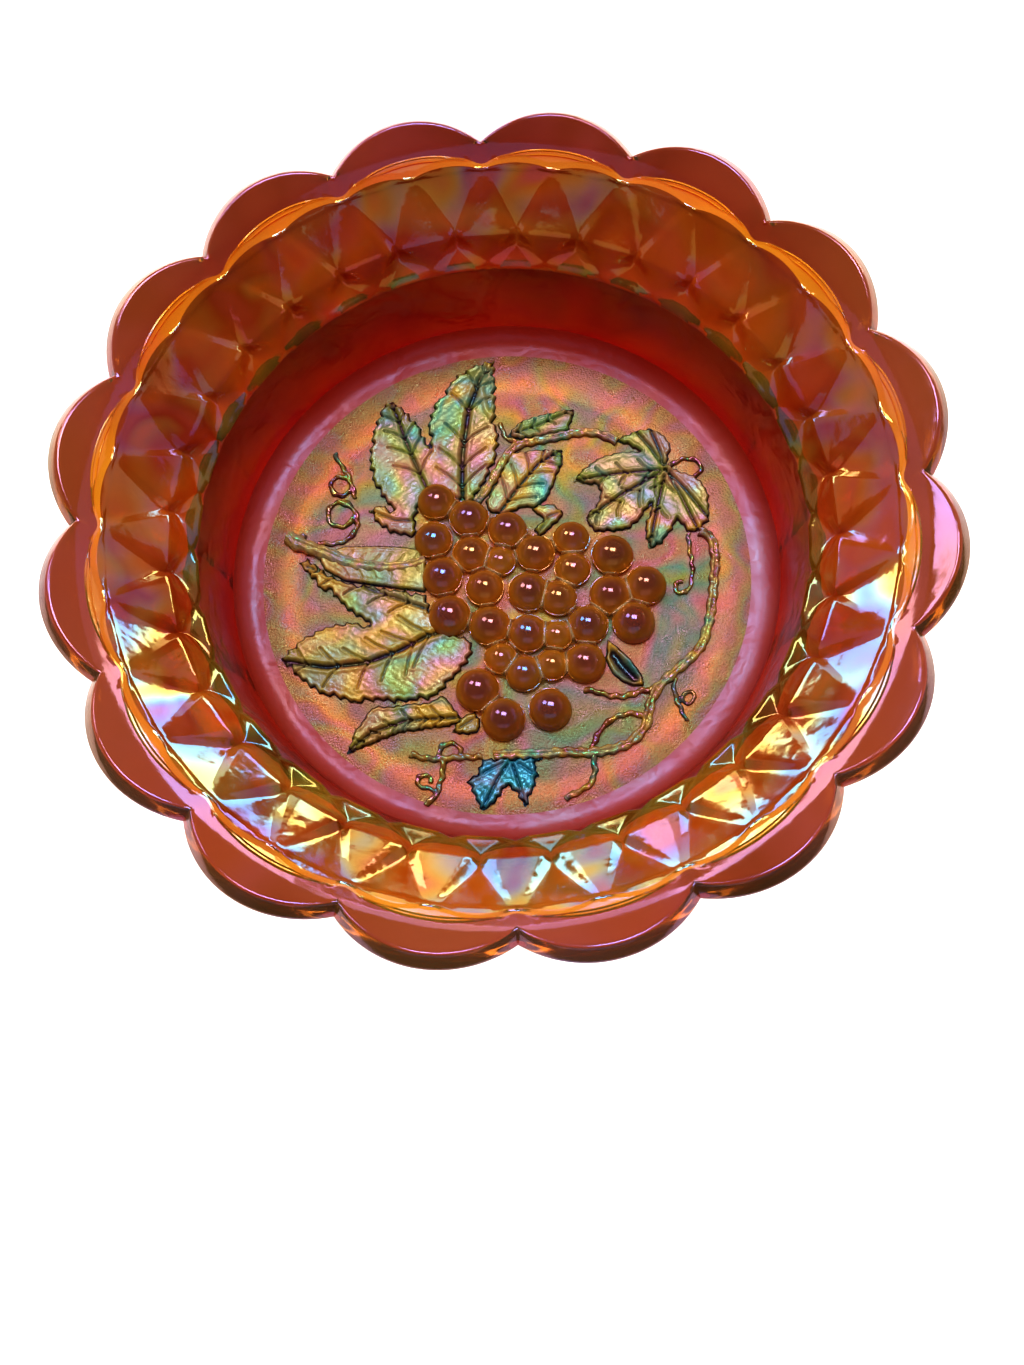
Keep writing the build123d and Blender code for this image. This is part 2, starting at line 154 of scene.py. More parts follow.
bpy.ops.mesh.primitive_plane_add(size=6)
floor = bpy.context.object
floor.name = "pale_floor"
pale = bpy.data.materials.new("pale floor")
pale.use_nodes = True
sockets = pale.node_tree.nodes["Principled BSDF"].inputs
sockets["Base Color"].default_value = (0.93, 0.93, 0.93, 1)
sockets["Roughness"].default_value = 0.8
sockets["Emission Color"].default_value = (1, 1, 1, 1)
sockets["Emission Strength"].default_value = 0.95
floor.data.materials.append(pale)
floor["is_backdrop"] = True

# %% [markdown]
# ## Lustred glass
# Carnival glass is amber glass under a thin film, and three things make its look. The glass
# itself swallows blue and green light, more of it the thicker it is, which is a Volume
# Absorption node. The film mirrors a different colour at each thickness, which is the Thin Film
# part of the Principled shader. And the film is milky, so some light never enters the glass:
# that share is what Transmission leaves over, and it takes its colour from soft bands of tint.

# %% Material helper
STIPPLE_DEPTH, WAVE_DEPTH, WAVE_SCALE = 0.0004, 0.002, 85
TINT_START, TINT_SPAN = 0.28, 0.44
GLASS_IOR, ABSORPTION = 1.52, (0.955, 0.62, 0.13)


def lustre(name, body, tints, grain, share, clear, rough, film, bump, bump_scale, amber,
           film_index=1.9, shade_and_speckle=(0.12, 0.04, 0.015), painted_top_reflection=(0.3, 0.22, 0.1), top_reflection_blend="SCREEN",
           low=(-2.0, -1.0), high=(1.0, 2.0), speckle=0.0, wave=0.0, fade=None, web=None):
    """Glass under a film. body is its own colour, tints the film's, mixed in by share."""
    made = bpy.data.materials.new(name)
    made.use_nodes = True
    nodes, links = made.node_tree.nodes, made.node_tree.links
    shader = nodes["Principled BSDF"]
    where = nodes.new("ShaderNodeTexCoord").outputs["Object"]

    def noise(scale, detail=2.0, twist=0.0):
        """Soft noise in object space, from 0 to 1."""
        n = nodes.new("ShaderNodeTexNoise")
        n.inputs["Scale"].default_value = scale
        n.inputs["Detail"].default_value = detail
        n.inputs["Distortion"].default_value = twist
        links.new(where, n.inputs["Vector"])
        return n.outputs["Fac"]

    def spread(value, first, last, start=0.3, end=0.7):
        """Runs from first to last while value runs from start to end."""
        n = nodes.new("ShaderNodeMapRange")
        n.inputs["From Min"].default_value, n.inputs["From Max"].default_value = start, end
        n.inputs["To Min"].default_value, n.inputs["To Max"].default_value = first, last
        links.new(value, n.inputs["Value"])
        return n.outputs["Result"]

    def blend(base, colour, factor, kind="MIX"):
        """colour over base as far as factor says. Each is a plain colour or a socket."""
        n = nodes.new("ShaderNodeMix")
        n.data_type, n.blend_type = "RGBA", kind
        links.new(factor, n.inputs["Factor"])
        for socket, value in ((n.inputs[6], base), (n.inputs[7], colour)):
            if isinstance(value, tuple):
                socket.default_value = (*value, 1)
            else:
                links.new(value, socket)
        return n.outputs[2]

    def bumped(height, strength, depth, under=None):
        n = nodes.new("ShaderNodeBump")
        n.inputs["Strength"].default_value = strength
        n.inputs["Distance"].default_value = depth
        links.new(height, n.inputs["Height"])
        if under:
            links.new(under, n.inputs["Normal"])
        return n.outputs["Normal"]

    ramp = nodes.new("ShaderNodeValToRGB")
    stops = ramp.color_ramp.elements
    for i, tint in enumerate(tints):
        at = TINT_START + TINT_SPAN * i / (len(tints) - 1)
        stop = stops[i] if i < 2 else stops.new(at)
        stop.position = at
        stop.color = (*tint, 1)
    links.new(noise(grain, 1.5, 0.6), ramp.inputs["Fac"])
    amount = spread(noise(grain * 0.6, 1.0), *share)
    if fade:  # the film thins out between two distances from the floor's middle, in metres
        reach = nodes.new("ShaderNodeVectorMath")
        reach.operation = "LENGTH"
        links.new(where, reach.inputs[0])
        both = nodes.new("ShaderNodeMath")
        both.operation = "MULTIPLY"
        links.new(amount, both.inputs[0])
        links.new(spread(reach.outputs["Value"], 1.0, 0.1, *fade), both.inputs[1])
        amount = both.outputs["Value"]
    colour = blend(body, ramp.outputs["Color"], amount)

    place_of = nodes.new("ShaderNodeSeparateXYZ")
    links.new(where, place_of.inputs["Vector"])
    height = place_of.outputs["Z"]
    # painted shade: the colour darkens towards the floor, so the relief's outlines, its veins and
    # the foot of each grape look shaded
    colour = blend(colour, shade_and_speckle, spread(height, 1.0, 0.0, *low), "MULTIPLY")
    # painted highlight screened over the raised tops of leaves and vines; on the grapes a painted
    # reflection mixed over the crowns
    colour = blend(colour, painted_top_reflection, spread(height, 0.0, 1.0, *high), top_reflection_blend)
    # painted highlight: a pale cream line along the glass webs between the grapes
    if web:
        web_highlight_attr = nodes.new("ShaderNodeAttribute")
        web_highlight_attr.attribute_name = "web"
        colour = blend(colour, web, web_highlight_attr.outputs["Fac"])
    # random dark stipple grains, in the same dark colour as the painted shade
    grit = spread(noise(bump_scale), speckle, 0.0, 0.36, 0.5)
    links.new(blend(colour, shade_and_speckle, grit, "MULTIPLY"), shader.inputs["Base Color"])

    links.new(spread(noise(grain * 6), *rough), shader.inputs["Roughness"])
    links.new(spread(noise(grain * 1.3, 1.0, 0.4), *film), shader.inputs["Thin Film Thickness"])
    shader.inputs["Thin Film IOR"].default_value = film_index
    shader.inputs["IOR"].default_value = GLASS_IOR
    shader.inputs["Transmission Weight"].default_value = clear
    swell = bumped(noise(WAVE_SCALE, 2.0, 0.8), wave, WAVE_DEPTH)
    links.new(bumped(noise(bump_scale), bump, STIPPLE_DEPTH, swell), shader.inputs["Normal"])
    soak = nodes.new("ShaderNodeVolumeAbsorption")
    soak.inputs["Color"].default_value = (*ABSORPTION, 1)
    soak.inputs["Density"].default_value = amber
    links.new(soak.outputs["Volume"], nodes["Material Output"].inputs["Volume"])
    return made


# %% [markdown]
# Each finish below is one call. body and tints are colours, grain is how fine the bands of tint
# are, and share is how much tint there is. clear is the part of the light that enters the glass,
# rough a range of roughness and film a range of film thickness in nanometres, from about 100 for
# straw to 300 and more for pink and green. bump and bump_scale give the stipple, wave the slow
# ripple of pressed glass, and amber how dense the glass is. low and high are two ranges of
# height. Across low, a painted shade darkens the relief near the floor, in its veins and round its
# outlines. Across high, a painted highlight lightens the tops, and on the grapes a painted
# reflection darkens the crowns. speckle darkens random stipple grains with the same dark colour,
# and web is a painted highlight along the ridges between the grapes.

# %% The finishes
GOLD, COPPER, PINK = (0.90, 0.52, 0.06), (0.52, 0.19, 0.08), (0.62, 0.23, 0.21)
GREEN, TEAL = (0.32, 0.46, 0.09), (0.06, 0.38, 0.34)
EMBER, UMBER, MAUVE = (0.80, 0.24, 0.02), (0.22, 0.05, 0.01), (0.48, 0.18, 0.22)
LILAC, AZURE = (0.50, 0.30, 0.36), (0.05, 0.34, 0.52)
# The dark of the painted shade on the relief, also used for its random stipple speckles.
DEEP_SHADE_AND_SPECKLE = (0.05, 0.018, 0.008)


def above_floor(first, last):
    """Two heights in millimetres above the bowl's floor, as metres above the table."""
    return (FLOOR_Z + first) * MM, (FLOOR_Z + last) * MM


finish = {
    "stippled_floor": lustre(
        "stippled floor", body=(0.40, 0.21, 0.13),
        tints=[COPPER, PINK, GOLD, GREEN, TEAL, LILAC, PINK], grain=40, share=(0.2, 0.85),
        clear=0.22, rough=(0.26, 0.38), film=(230, 520), bump=0.9, bump_scale=1700, amber=200,
        film_index=1.75, speckle=0.3, fade=(0.056, 0.073)),
    "cove": lustre(
        "satin cove", body=(0.30, 0.07, 0.03), tints=[LILAC, MAUVE, LILAC], grain=30,
        share=(0.5, 1.0), clear=0.40, rough=(0.34, 0.44), film=(150, 190), bump=0.3,
        bump_scale=500, amber=500, film_index=1.72, wave=0.4, fade=(0.0765, 0.0825)),
    "well": lustre(
        "clear well", body=(0.32, 0.08, 0.02), tints=[EMBER, UMBER, EMBER], grain=22,
        share=(0.1, 0.5), clear=0.70, rough=(0.08, 0.16), film=(90, 190), bump=0.12,
        bump_scale=200, amber=650, film_index=1.65, wave=0.25),
    "quilted_lustre": lustre(
        "quilted lustre", body=(0.90, 0.34, 0.03),
        tints=[EMBER, GOLD, GREEN, UMBER, COPPER, EMBER], grain=40, share=(0.1, 0.7),
        clear=0.66, rough=(0.07, 0.13), film=(150, 265), bump=0.12, bump_scale=300, amber=440,
        wave=0.1),
    # The arch zone is a brighter, clearer copy of the lustre: its gold body is a painted highlight
    # for the glow that the arch beads catch from the light above and behind.
    "arch_highlight_gold": lustre(
        "arch highlight gold", body=(0.96, 0.74, 0.08), tints=[GOLD, COPPER, MAUVE, GOLD], grain=32,
        share=(0.0, 0.75), clear=0.66, rough=(0.07, 0.14), film=(140, 260), bump=0.1,
        bump_scale=300, amber=40, wave=0.1),
    "lip_lustre": lustre(
        "lip lustre", body=(0.60, 0.44, 0.13), tints=[COPPER, UMBER, MAUVE, COPPER], grain=20,
        share=(0.2, 0.6), clear=0.70, rough=(0.07, 0.14), film=(140, 165), bump=0.1,
        bump_scale=200, amber=270, film_index=1.85, wave=0.06),
    "amber_glass": lustre(
        "amber glass", body=(1.0, 0.50, 0.07), tints=[EMBER, GOLD, EMBER], grain=18,
        share=(0.1, 0.35), clear=0.90, rough=(0.04, 0.09), film=(60, 120), bump=0.08,
        bump_scale=100, amber=300, film_index=1.55),
    # The grapes get painted shade round their feet, a darker painted reflection over their crowns
    # and a pale painted highlight along the webs.
    "grape_glass": lustre(
        "grape glass", body=(1.0, 0.40, 0.04),
        tints=[(1.0, 0.28, 0.02), (1.0, 0.50, 0.05), (1.0, 0.28, 0.02)], grain=60,
        share=(0.1, 0.5), clear=0.50, rough=(0.07, 0.13), film=(110, 175), bump=0.05,
        bump_scale=500, amber=30, low=above_floor(0.1, 0.8), high=above_floor(3.2, 5.6),
        painted_top_reflection=(0.42, 0.13, 0.07), top_reflection_blend="MIX", wave=0.03, web=(1.0, 0.80, 0.45)),
    # The leaves get painted shade in their veins and round their outlines, and a yellow painted
    # highlight on their raised parts.
    "leaf_lustre": lustre(
        "leaf lustre", body=(0.74, 0.36, 0.07),
        tints=[GREEN, GOLD, TEAL, GREEN, PINK, GOLD, TEAL], grain=38, share=(0.4, 1.0),
        clear=0.10, rough=(0.24, 0.34), film=(190, 420), bump=0.3, bump_scale=1100, amber=120,
        shade_and_speckle=DEEP_SHADE_AND_SPECKLE, painted_top_reflection=(0.42, 0.30, 0.06), low=above_floor(0.5, 1.2),
        high=above_floor(1.4, 1.9), speckle=0.2, film_index=1.68),
    # This leaf gets painted shade in its veins and round its outline, and a pale blue painted
    # highlight on its raised parts.
    "blue_leaf": lustre(
        "blue leaf lustre", body=(0.10, 0.30, 0.34), tints=[TEAL, AZURE, LILAC, TEAL, AZURE],
        grain=60, share=(0.4, 1.0), clear=0.10, rough=(0.20, 0.30), film=(165, 200), bump=0.3,
        bump_scale=1100, amber=120, shade_and_speckle=DEEP_SHADE_AND_SPECKLE, painted_top_reflection=(0.25, 0.38, 0.42),
        low=above_floor(0.5, 1.2), high=above_floor(1.3, 1.8), speckle=0.2, film_index=1.8),
    # The vines get painted shade along their feet and a painted highlight along their tops.
    "vine_lustre": lustre(
        "vine lustre", body=(0.50, 0.17, 0.06), tints=[COPPER, UMBER, GOLD, TEAL, COPPER],
        grain=90, share=(0.3, 0.8), clear=0.12, rough=(0.16, 0.28), film=(190, 420), bump=0.5,
        bump_scale=900, amber=120, shade_and_speckle=DEEP_SHADE_AND_SPECKLE, painted_top_reflection=(0.44, 0.30, 0.14),
        low=above_floor(0.3, 1.0), high=above_floor(1.05, 1.45), speckle=0.35),
}
print("finishes:", ", ".join(finish))

# %% [markdown]
# ## The bowl's skin
# The whole bowl is one closed surface, so it can be modelled as a flat grid that is rolled up:
# one direction of the grid runs round the axis, and the other runs from the middle of the floor,
# up the inside, over the rim and down the outside to the middle of the base. The grid's lines
# needn't be evenly spaced. On the quilted band they follow the edges of the facets, one line each
# side of every edge, so that each edge gets a narrow chamfer and the facets stay flat and crisp.
#
# First come the plain sections: the path down the inside and how the facets stand on it.

# %% Sizes of the glass
SCALLOPS = 16
COVE, WELL_LEAN = 5.8, math.atan2(30.9, 4.5)
KNEE_R, KNEE_Z = 85.0, 40.9
STAR_R, STAR_Z = 103.2, 59.1
LIP_ANGLE = math.radians(31.6)
CREST_R = 114.5
EDGE_OUT = np.array([math.sin(math.radians(52)), -math.cos(math.radians(52))])
GLASS = 4.6
BAND = (STAR_R - KNEE_R) * math.sqrt(2)
NOTCH_T = (NOTCH_R - STAR_R) * math.sqrt(2)
PITCH = 2 * math.pi / SCALLOPS
QUARTER = PITCH / 4
CHAMFER = 0.28
RIDGE_S, RIDGE_HALF, RIDGE_H = 17.0, 7.4, 2.3
DIAMOND_TOP, DIAMOND_LOW = 1.0, 25.0
CROSS_S, GROOVE_S, POINT_S = 15.5, 20.0, 26.5
POINT_HALF, POINT_H, FIELD_H = 5.2, 1.4, 0.3

# %% [markdown]
# The quilting is a low relief of flat facets: tall diamonds with their points on the star ring,
# and a small point between each two of them lower down. Such cuts are ground into the iron of
# the mould as flats, so the height of the glass is a set of straight runs, both down the band and
# across it. A grid line stands a little way each side of every edge where two flats meet.

# %% The quilted band
LINE_GAP = 0.14


def half_width(s):
    """Half a diamond column's width, s down the band from the star ring."""
    return (STAR_R - s * math.sqrt(0.5)) * QUARTER


def diamond_edge(s):
    """Half a diamond's width at s."""
    return np.interp(s, [DIAMOND_TOP, RIDGE_S, DIAMOND_LOW], [0.0, RIDGE_HALF, 0.0])


def field_edge(s):
    """Where the sunk field between two diamonds starts, and lower down the small point."""
    return float(np.interp(s, [0, CROSS_S, GROOVE_S, POINT_S],
                           [1.6, half_width(CROSS_S), half_width(GROOVE_S),
                            half_width(POINT_S) - POINT_HALF]))


def facet_height(s, x):
    """How far the glass stands proud, s down the band and x across from a star's meridian."""
    half, a, b = half_width(s), diamond_edge(s), field_edge(s)
    bulge = math.sqrt(0.5) / (2 * half / QUARTER)
    top = np.interp(s, [0, DIAMOND_TOP, RIDGE_S, DIAMOND_LOW, POINT_S, POINT_S + 1],
                    [0.5, 0.15, RIDGE_H, FIELD_H, 0.1, 0.0])
    low = np.interp(s, [0, 0.8, CROSS_S, GROOVE_S, POINT_S, POINT_S + 1],
                    [0.5, FIELD_H, FIELD_H, 0.0, POINT_H, 0.0])
    if x <= a:
        return top - bulge * x * x
    if x >= b:
        return low - bulge * (half - x) ** 2
    t = (x - a) / (b - a)
    return (1 - t) * (top - bulge * a * a) + t * (low - bulge * (half - b) ** 2)


def facet_lines(s):
    """The nine grid lines across half a column, as shares of its width."""
    half, a, b = half_width(s), diamond_edge(s), field_edge(s)
    x = np.array([0, a / 2, a - CHAMFER, a + CHAMFER, b - CHAMFER, b + CHAMFER,
                  (b + half) / 2, half - CHAMFER, half])
    for i in range(1, 9):
        x[i] = max(x[i], x[i - 1] + LINE_GAP)
    x[8] = half
    for i in range(7, 0, -1):
        x[i] = min(x[i], x[i + 1] - LINE_GAP)
    return x / half


def knee_path(s):
    """Point and outward normal, s down from the star ring: the band, then the well wall."""
    bend = np.clip((s - BAND + 1.2) / 2.4, 0, 1)
    if s <= BAND:
        p = np.array([STAR_R - s * math.sqrt(0.5), STAR_Z - s * math.sqrt(0.5)])
    else:
        p = np.array([KNEE_R - (s - BAND) * math.cos(WELL_LEAN),
                      KNEE_Z - (s - BAND) * math.sin(WELL_LEAN)])
    a = math.radians(45) * (1 - bend) + WELL_LEAN * bend
    return p, np.array([-math.sin(a), math.cos(a)])


# %% [markdown]
# ## Lip
# Above the stars the glass bends to a shallower slope and runs out to sixteen round scallops.
# Between each two stars lies a thin lens-shaped facet, and a pair of fine raised lines arches
# over from notch to notch. The rows of the grid follow those curves.

# %% The lip
ARC_MID = (CREST_R ** 2 - NOTCH_R ** 2) / (2 * CREST_R - 2 * NOTCH_R * math.cos(PITCH / 2))
ARC_R = CREST_R - ARC_MID
LENS_RISE, ARCH_CROWN, ARCH_GAP, BEAD = 3.0, 4.9, 1.15, 0.32
LENS_ROWS, ARCH_ROWS = 2, 10


def scallop_radius(angle):
    """The rim's radius at an angle from a notch."""
    d = angle - PITCH / 2
    return ARC_MID * math.cos(d) + math.sqrt(ARC_R ** 2 - (ARC_MID * math.sin(d)) ** 2)


def lip_path(t):
    """Point and normal, t out from the star ring."""
    bend = np.clip((t - NOTCH_T + 0.8) / 1.6, 0, 1)
    a = math.radians(45) * (1 - bend) + LIP_ANGLE * bend
    if t <= NOTCH_T:
        p = np.array([STAR_R + t * math.sqrt(0.5), STAR_Z + t * math.sqrt(0.5)])
    else:
        p = np.array([NOTCH_R + (t - NOTCH_T) * math.cos(LIP_ANGLE),
                      NOTCH_Z + (t - NOTCH_T) * math.sin(LIP_ANGLE)])
    return p, np.array([-math.sin(a), math.cos(a)])


def lip_rows(angle):
    """Distance out and height proud of each row across the lip, at an angle from a notch."""
    across = abs((angle % (PITCH / 2)) / (PITCH / 4) - 1)
    lens = LENS_RISE * (1 - across ** 2)
    swing = min(1.0, abs(angle - PITCH / 2) / (0.84 * PITCH / 2))
    arch = 0.5 + (ARCH_CROWN - 0.5) * (1 - swing ** 2.2) ** 0.62
    low = arch - ARCH_GAP
    end = NOTCH_T + (scallop_radius(angle) - NOTCH_R) / math.cos(LIP_ANGLE) - 0.9
    fade = min(1.0, (1 - swing) * 6)
    rows = [(0.25, 0.42), (lens * 0.5, 0.28), (lens - 0.2, 0.12), (lens + 0.15, 0.0),
            (low - BEAD, 0.0), (low, 0.38 * fade), (low + BEAD, 0.0),
            (arch - BEAD, 0.0), (arch, 0.5 * fade), (arch + BEAD, 0.0)]
    t = np.array([r[0] for r in rows])
    for i in range(1, len(t)):
        t[i] = max(t[i], t[i - 1] + 0.12)
    rest = t[-1] + (end - t[-1]) * np.array([0.2, 0.42, 0.64, 0.84, 1.0])
    return list(zip(t, [r[1] for r in rows])) + [(v, 0.0) for v in rest]


# %% [markdown]
# ## Rim edge, outside and foot
# The rim is cut off at a slant, so its face looks outwards and up, and both its edges are
# fire-polished round. Outside, the band and the well are sixteen convex flutes that meet in
# creases below the notches. A low ring stands under the base.

# %% The outside
def arc(centre, radius, start, end, steps):
    """Points on part of a circle, with its angles in degrees."""
    a = np.radians(np.linspace(start, end, steps))
    return [(centre[0] + radius * math.cos(v), centre[1] + radius * math.sin(v)) for v in a]


FOOT_OUT, FOOT_IN, FOOT_H = 70.0, 63.0, 4.0
LIP_BEND, OUTER_KNEE = np.array([110.87, 60.27]), np.array([89.33, 38.73])
BASE_CORNER, BASE_EDGE_R = 8.0, 84.27
FLUTE = 1.15
RIM_FACE, UPPER_ROUND, LOWER_ROUND = 4.9, 0.9, 1.1


def rim_rows(angle):
    """Rounded rim face from the lip's end to the underside."""
    top = np.array([scallop_radius(angle), 0.0])
    top[1] = NOTCH_Z + (top[0] - NOTCH_R) * math.tan(LIP_ANGLE)
    along = np.array([math.cos(LIP_ANGLE), math.sin(LIP_ANGLE)])
    foot = top + EDGE_OUT * RIM_FACE
    rows = []
    for corner, before, after, size in ((top, -along, EDGE_OUT, UPPER_ROUND),
                                        (foot, -EDGE_OUT, -along, LOWER_ROUND)):
        for k in (0.0, 0.25, 0.5, 0.75, 1.0):
            rows.append(corner + before * size * (1 - k) ** 2 + after * size * k ** 2)
    return rows


def outside_rows(angle, last):
    """The underside of the lip, the outer band and wall, the base and the foot."""
    rows = [last + (LIP_BEND - last) * k for k in (0.35, 0.7, 1.0)]
    rows += [LIP_BEND + (OUTER_KNEE - LIP_BEND) * k for k in (0.15, 0.35, 0.55, 0.75, 0.92, 0.98)]
    wall_low = np.array([BASE_EDGE_R + 1.0, FOOT_H + BASE_CORNER - 1.0])
    rows += [OUTER_KNEE + (wall_low - OUTER_KNEE) * k for k in (0.03, 0.1, 0.35, 0.6, 0.85)]
    depth = FLUTE * abs(angle / (PITCH / 2) - 1) ** 3
    sink = [0.3, 0.6, 1.0] + [1.0] * 9 + [0.9, 0.75]
    normal = np.array([0.75, -0.66])
    rows = [r - normal * depth * k for r, k in zip(rows, sink)]
    corner = (BASE_EDGE_R - BASE_CORNER + 0.9, FOOT_H + BASE_CORNER)
    rows += arc(corner, BASE_CORNER, -4, -90, 7)
    rows += [(FOOT_OUT + 0.8, FOOT_H), (FOOT_OUT + 0.2, FOOT_H - 0.2), (FOOT_OUT, FOOT_H - 0.8)]
    rows += [(FOOT_OUT, 1.0), (FOOT_OUT - 0.3, 0.3), (FOOT_OUT - 1.0, 0.0),
             (FOOT_IN + 1.0, 0.0), (FOOT_IN + 0.3, 0.3), (FOOT_IN, 1.0), (FOOT_IN, FOOT_H - 0.8),
             (FOOT_IN - 0.2, FOOT_H - 0.2), (FOOT_IN - 0.8, FOOT_H)]
    rows += [(FOOT_IN * k, FOOT_H) for k in (0.9, 0.75, 0.5, 0.25, 0.0)]
    return rows


# %% [markdown]
# Now the grid itself. Each half column of the quilt gives eight columns of faces, and each
# column of points is worked out from the floor's middle round to the base's middle.

# %% Roll up the grid
BAND_ROWS = [28.5, 27.5, 26.7, 26.3, 25.4, 24.6, 23, 21, 20, 18.6, 17.3, 16.7, 15.7, 15.2,
             13, 10.5, 8, 5.5, 3.5, 2.0, 1.2, 0.7, 0.2]
EVEN = np.linspace(0, 1, 9)


def band_share(s):
    """The grid lines bunch up along the facets, and even out below the knee."""
    if s > POINT_S:
        k = min(1.0, (s - POINT_S) / 2.0)
        return facet_lines(POINT_S) * (1 - k) + EVEN * k
    return facet_lines(s)


def column(half, line):
    """All points down one line of the grid: (angle, radius, z, zone)."""
    start, turn = ((0, 1), (2, -1), (2, 1), (4, -1))[half]
    at = lambda share: (start + turn * share) * QUARTER
    even = at(EVEN[line])
    points = [(even, r, FLOOR_Z, "floor") for r in (0, 8, 20, 32, 44, 55, 64, 70, 73.5)]
    for a in np.linspace(0, WELL_LEAN, 8):
        points.append((even, FLOOR_R + COVE * math.sin(a), FLOOR_Z + COVE * (1 - math.cos(a)),
                       "cove"))
    low, high = points[-1][1:3], (KNEE_R, KNEE_Z)
    for k in (0.15, 0.35, 0.55, 0.72, 0.84):
        points.append((even, low[0] + (high[0] - low[0]) * k, low[1] + (high[1] - low[1]) * k,
                       "well"))
    for s in BAND_ROWS:
        share = band_share(s)[line]
        p, n = knee_path(s)
        p = p + n * facet_height(s, share * half_width(s))
        points.append((at(share), p[0], p[1], "quilt" if s <= POINT_S + 0.3 else "well"))
    for row, (t, h) in enumerate(lip_rows(even)):
        p, n = lip_path(t)
        p = p + n * h
        zone = "quilt" if row < LENS_ROWS else "arch" if row < ARCH_ROWS else "lip"
        points.append((even, p[0], p[1], zone))
    rim = rim_rows(even)
    points += [(even, p[0], p[1], "lip") for p in rim]
    points += [(even, p[0], p[1], "outside") for p in outside_rows(even, rim[-1])]
    return points


lines = [column(half, line if half % 2 == 0 else 8 - line)
         for half in range(4) for line in range(8)]
ROWS = len(lines[0])
zones = [p[3] for p in lines[0]]
around = len(lines) * SCALLOPS
bpy.ops.object.select_all(action="DESELECT")
bpy.ops.mesh.primitive_grid_add(x_subdivisions=around, y_subdivisions=ROWS - 1, size=1)
bowl = bpy.context.object
bowl.name = "bowl_glass"
co = np.empty((ROWS, around + 1, 3))
for j in range(around + 1):
    for i, (angle, r, z, _) in enumerate(lines[j % len(lines)]):
        turn = angle + PITCH * (j // len(lines))
        co[i, j] = (r * math.cos(turn), r * math.sin(turn), z)
bowl.data.vertices.foreach_set("co", (co * MM).ravel())
bowl.location = (0, 0, 0)
zone_finish = {"floor": "stippled_floor", "cove": "cove", "well": "well",
               "quilt": "quilted_lustre", "arch": "arch_highlight_gold", "lip": "lip_lustre",
               "outside": "amber_glass"}
for slot in zone_finish.values():
    bowl.data.materials.append(finish[slot])
slot_of = {zone: i for i, zone in enumerate(zone_finish)}
rows_of_faces = np.repeat([slot_of[zones[i + 1]] for i in range(ROWS - 1)], around)
bowl.data.polygons.foreach_set("material_index", rows_of_faces.astype(np.int32))
bpy.ops.object.mode_set(mode="EDIT")
bpy.ops.mesh.select_all(action="SELECT")
bpy.ops.mesh.remove_doubles(threshold=0.00001)
bpy.ops.mesh.normals_make_consistent(inside=False)
bpy.ops.object.mode_set(mode="OBJECT")
bpy.ops.object.shade_smooth_by_angle(angle=math.radians(40))
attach(bowl, "root")
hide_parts("foot_ring", "floor_disc", "cove_ring", "well_wall", "quilt_band",
            "scalloped_lip", "quilt_diamonds", "quilt_lower_points", "arch_beads")
print("bowl skin:", len(bowl.data.polygons), "faces", ROWS, "rows", around, "columns")

# %% [markdown]
# ## Leaves
# The leaves stand about a millimetre proud of the floor. Each is drawn as an outline: a circle
# primitive with as many corners as the outline has points, moved onto them. Its face is extruded
# up into a flat solid, the Remesh modifier gives it an even skin, and then every point of the top
# is set to a height that depends on how far it is from the leaf's edge and from its veins: edges
# are rolled up, blades swell between the veins, and the veins are pressed in.

# %% Tools for the relief
SUNK, SKIN = 0.7, 0.34


def distance(points, line, closed=False):
    """Distance from each point to a run of straight pieces."""
    line = np.asarray(line, float)
    ends = np.roll(line, -1, axis=0) if closed else line[1:]
    best = np.full(len(points), 1e9)
    for a, b in zip(line if closed else line[:-1], ends):
        d = b - a
        t = np.clip(((points - a) @ d) / max(d @ d, 1e-9), 0, 1)
        best = np.minimum(best, np.linalg.norm(points - a - t[:, None] * d, axis=1))
    return best


def toothed(outline, pitch, depth):
    """The outline as an even run of points, with a saw edge cut into it."""
    corners = np.asarray(outline, float)
    legs = np.roll(corners, -1, axis=0) - corners
    lengths = np.linalg.norm(legs, axis=1)
    total = lengths.sum()
    teeth = max(3, round(total / pitch))
    steps = np.arange(teeth * 4) / (teeth * 4) * total
    starts = np.concatenate([[0], np.cumsum(lengths)[:-1]])
    k = np.searchsorted(starts, steps, side="right") - 1
    at = corners[k] + legs[k] * ((steps - starts[k]) / lengths[k])[:, None]
    out = np.stack([legs[k][:, 1], -legs[k][:, 0]], 1) / lengths[k][:, None]
    after = np.roll(corners, -1, axis=0)
    area = np.sum(corners[:, 0] * after[:, 1] - after[:, 0] * corners[:, 1])
    size = np.repeat(0.6 + 0.4 * np.sin(2.4 * np.arange(teeth)), 4)
    cut = (np.tile([0.0, 0.4, 0.75, 1.05], teeth) - 0.3) * size
    return at + out * (math.copysign(1.0, area) * -depth * cut)[:, None]


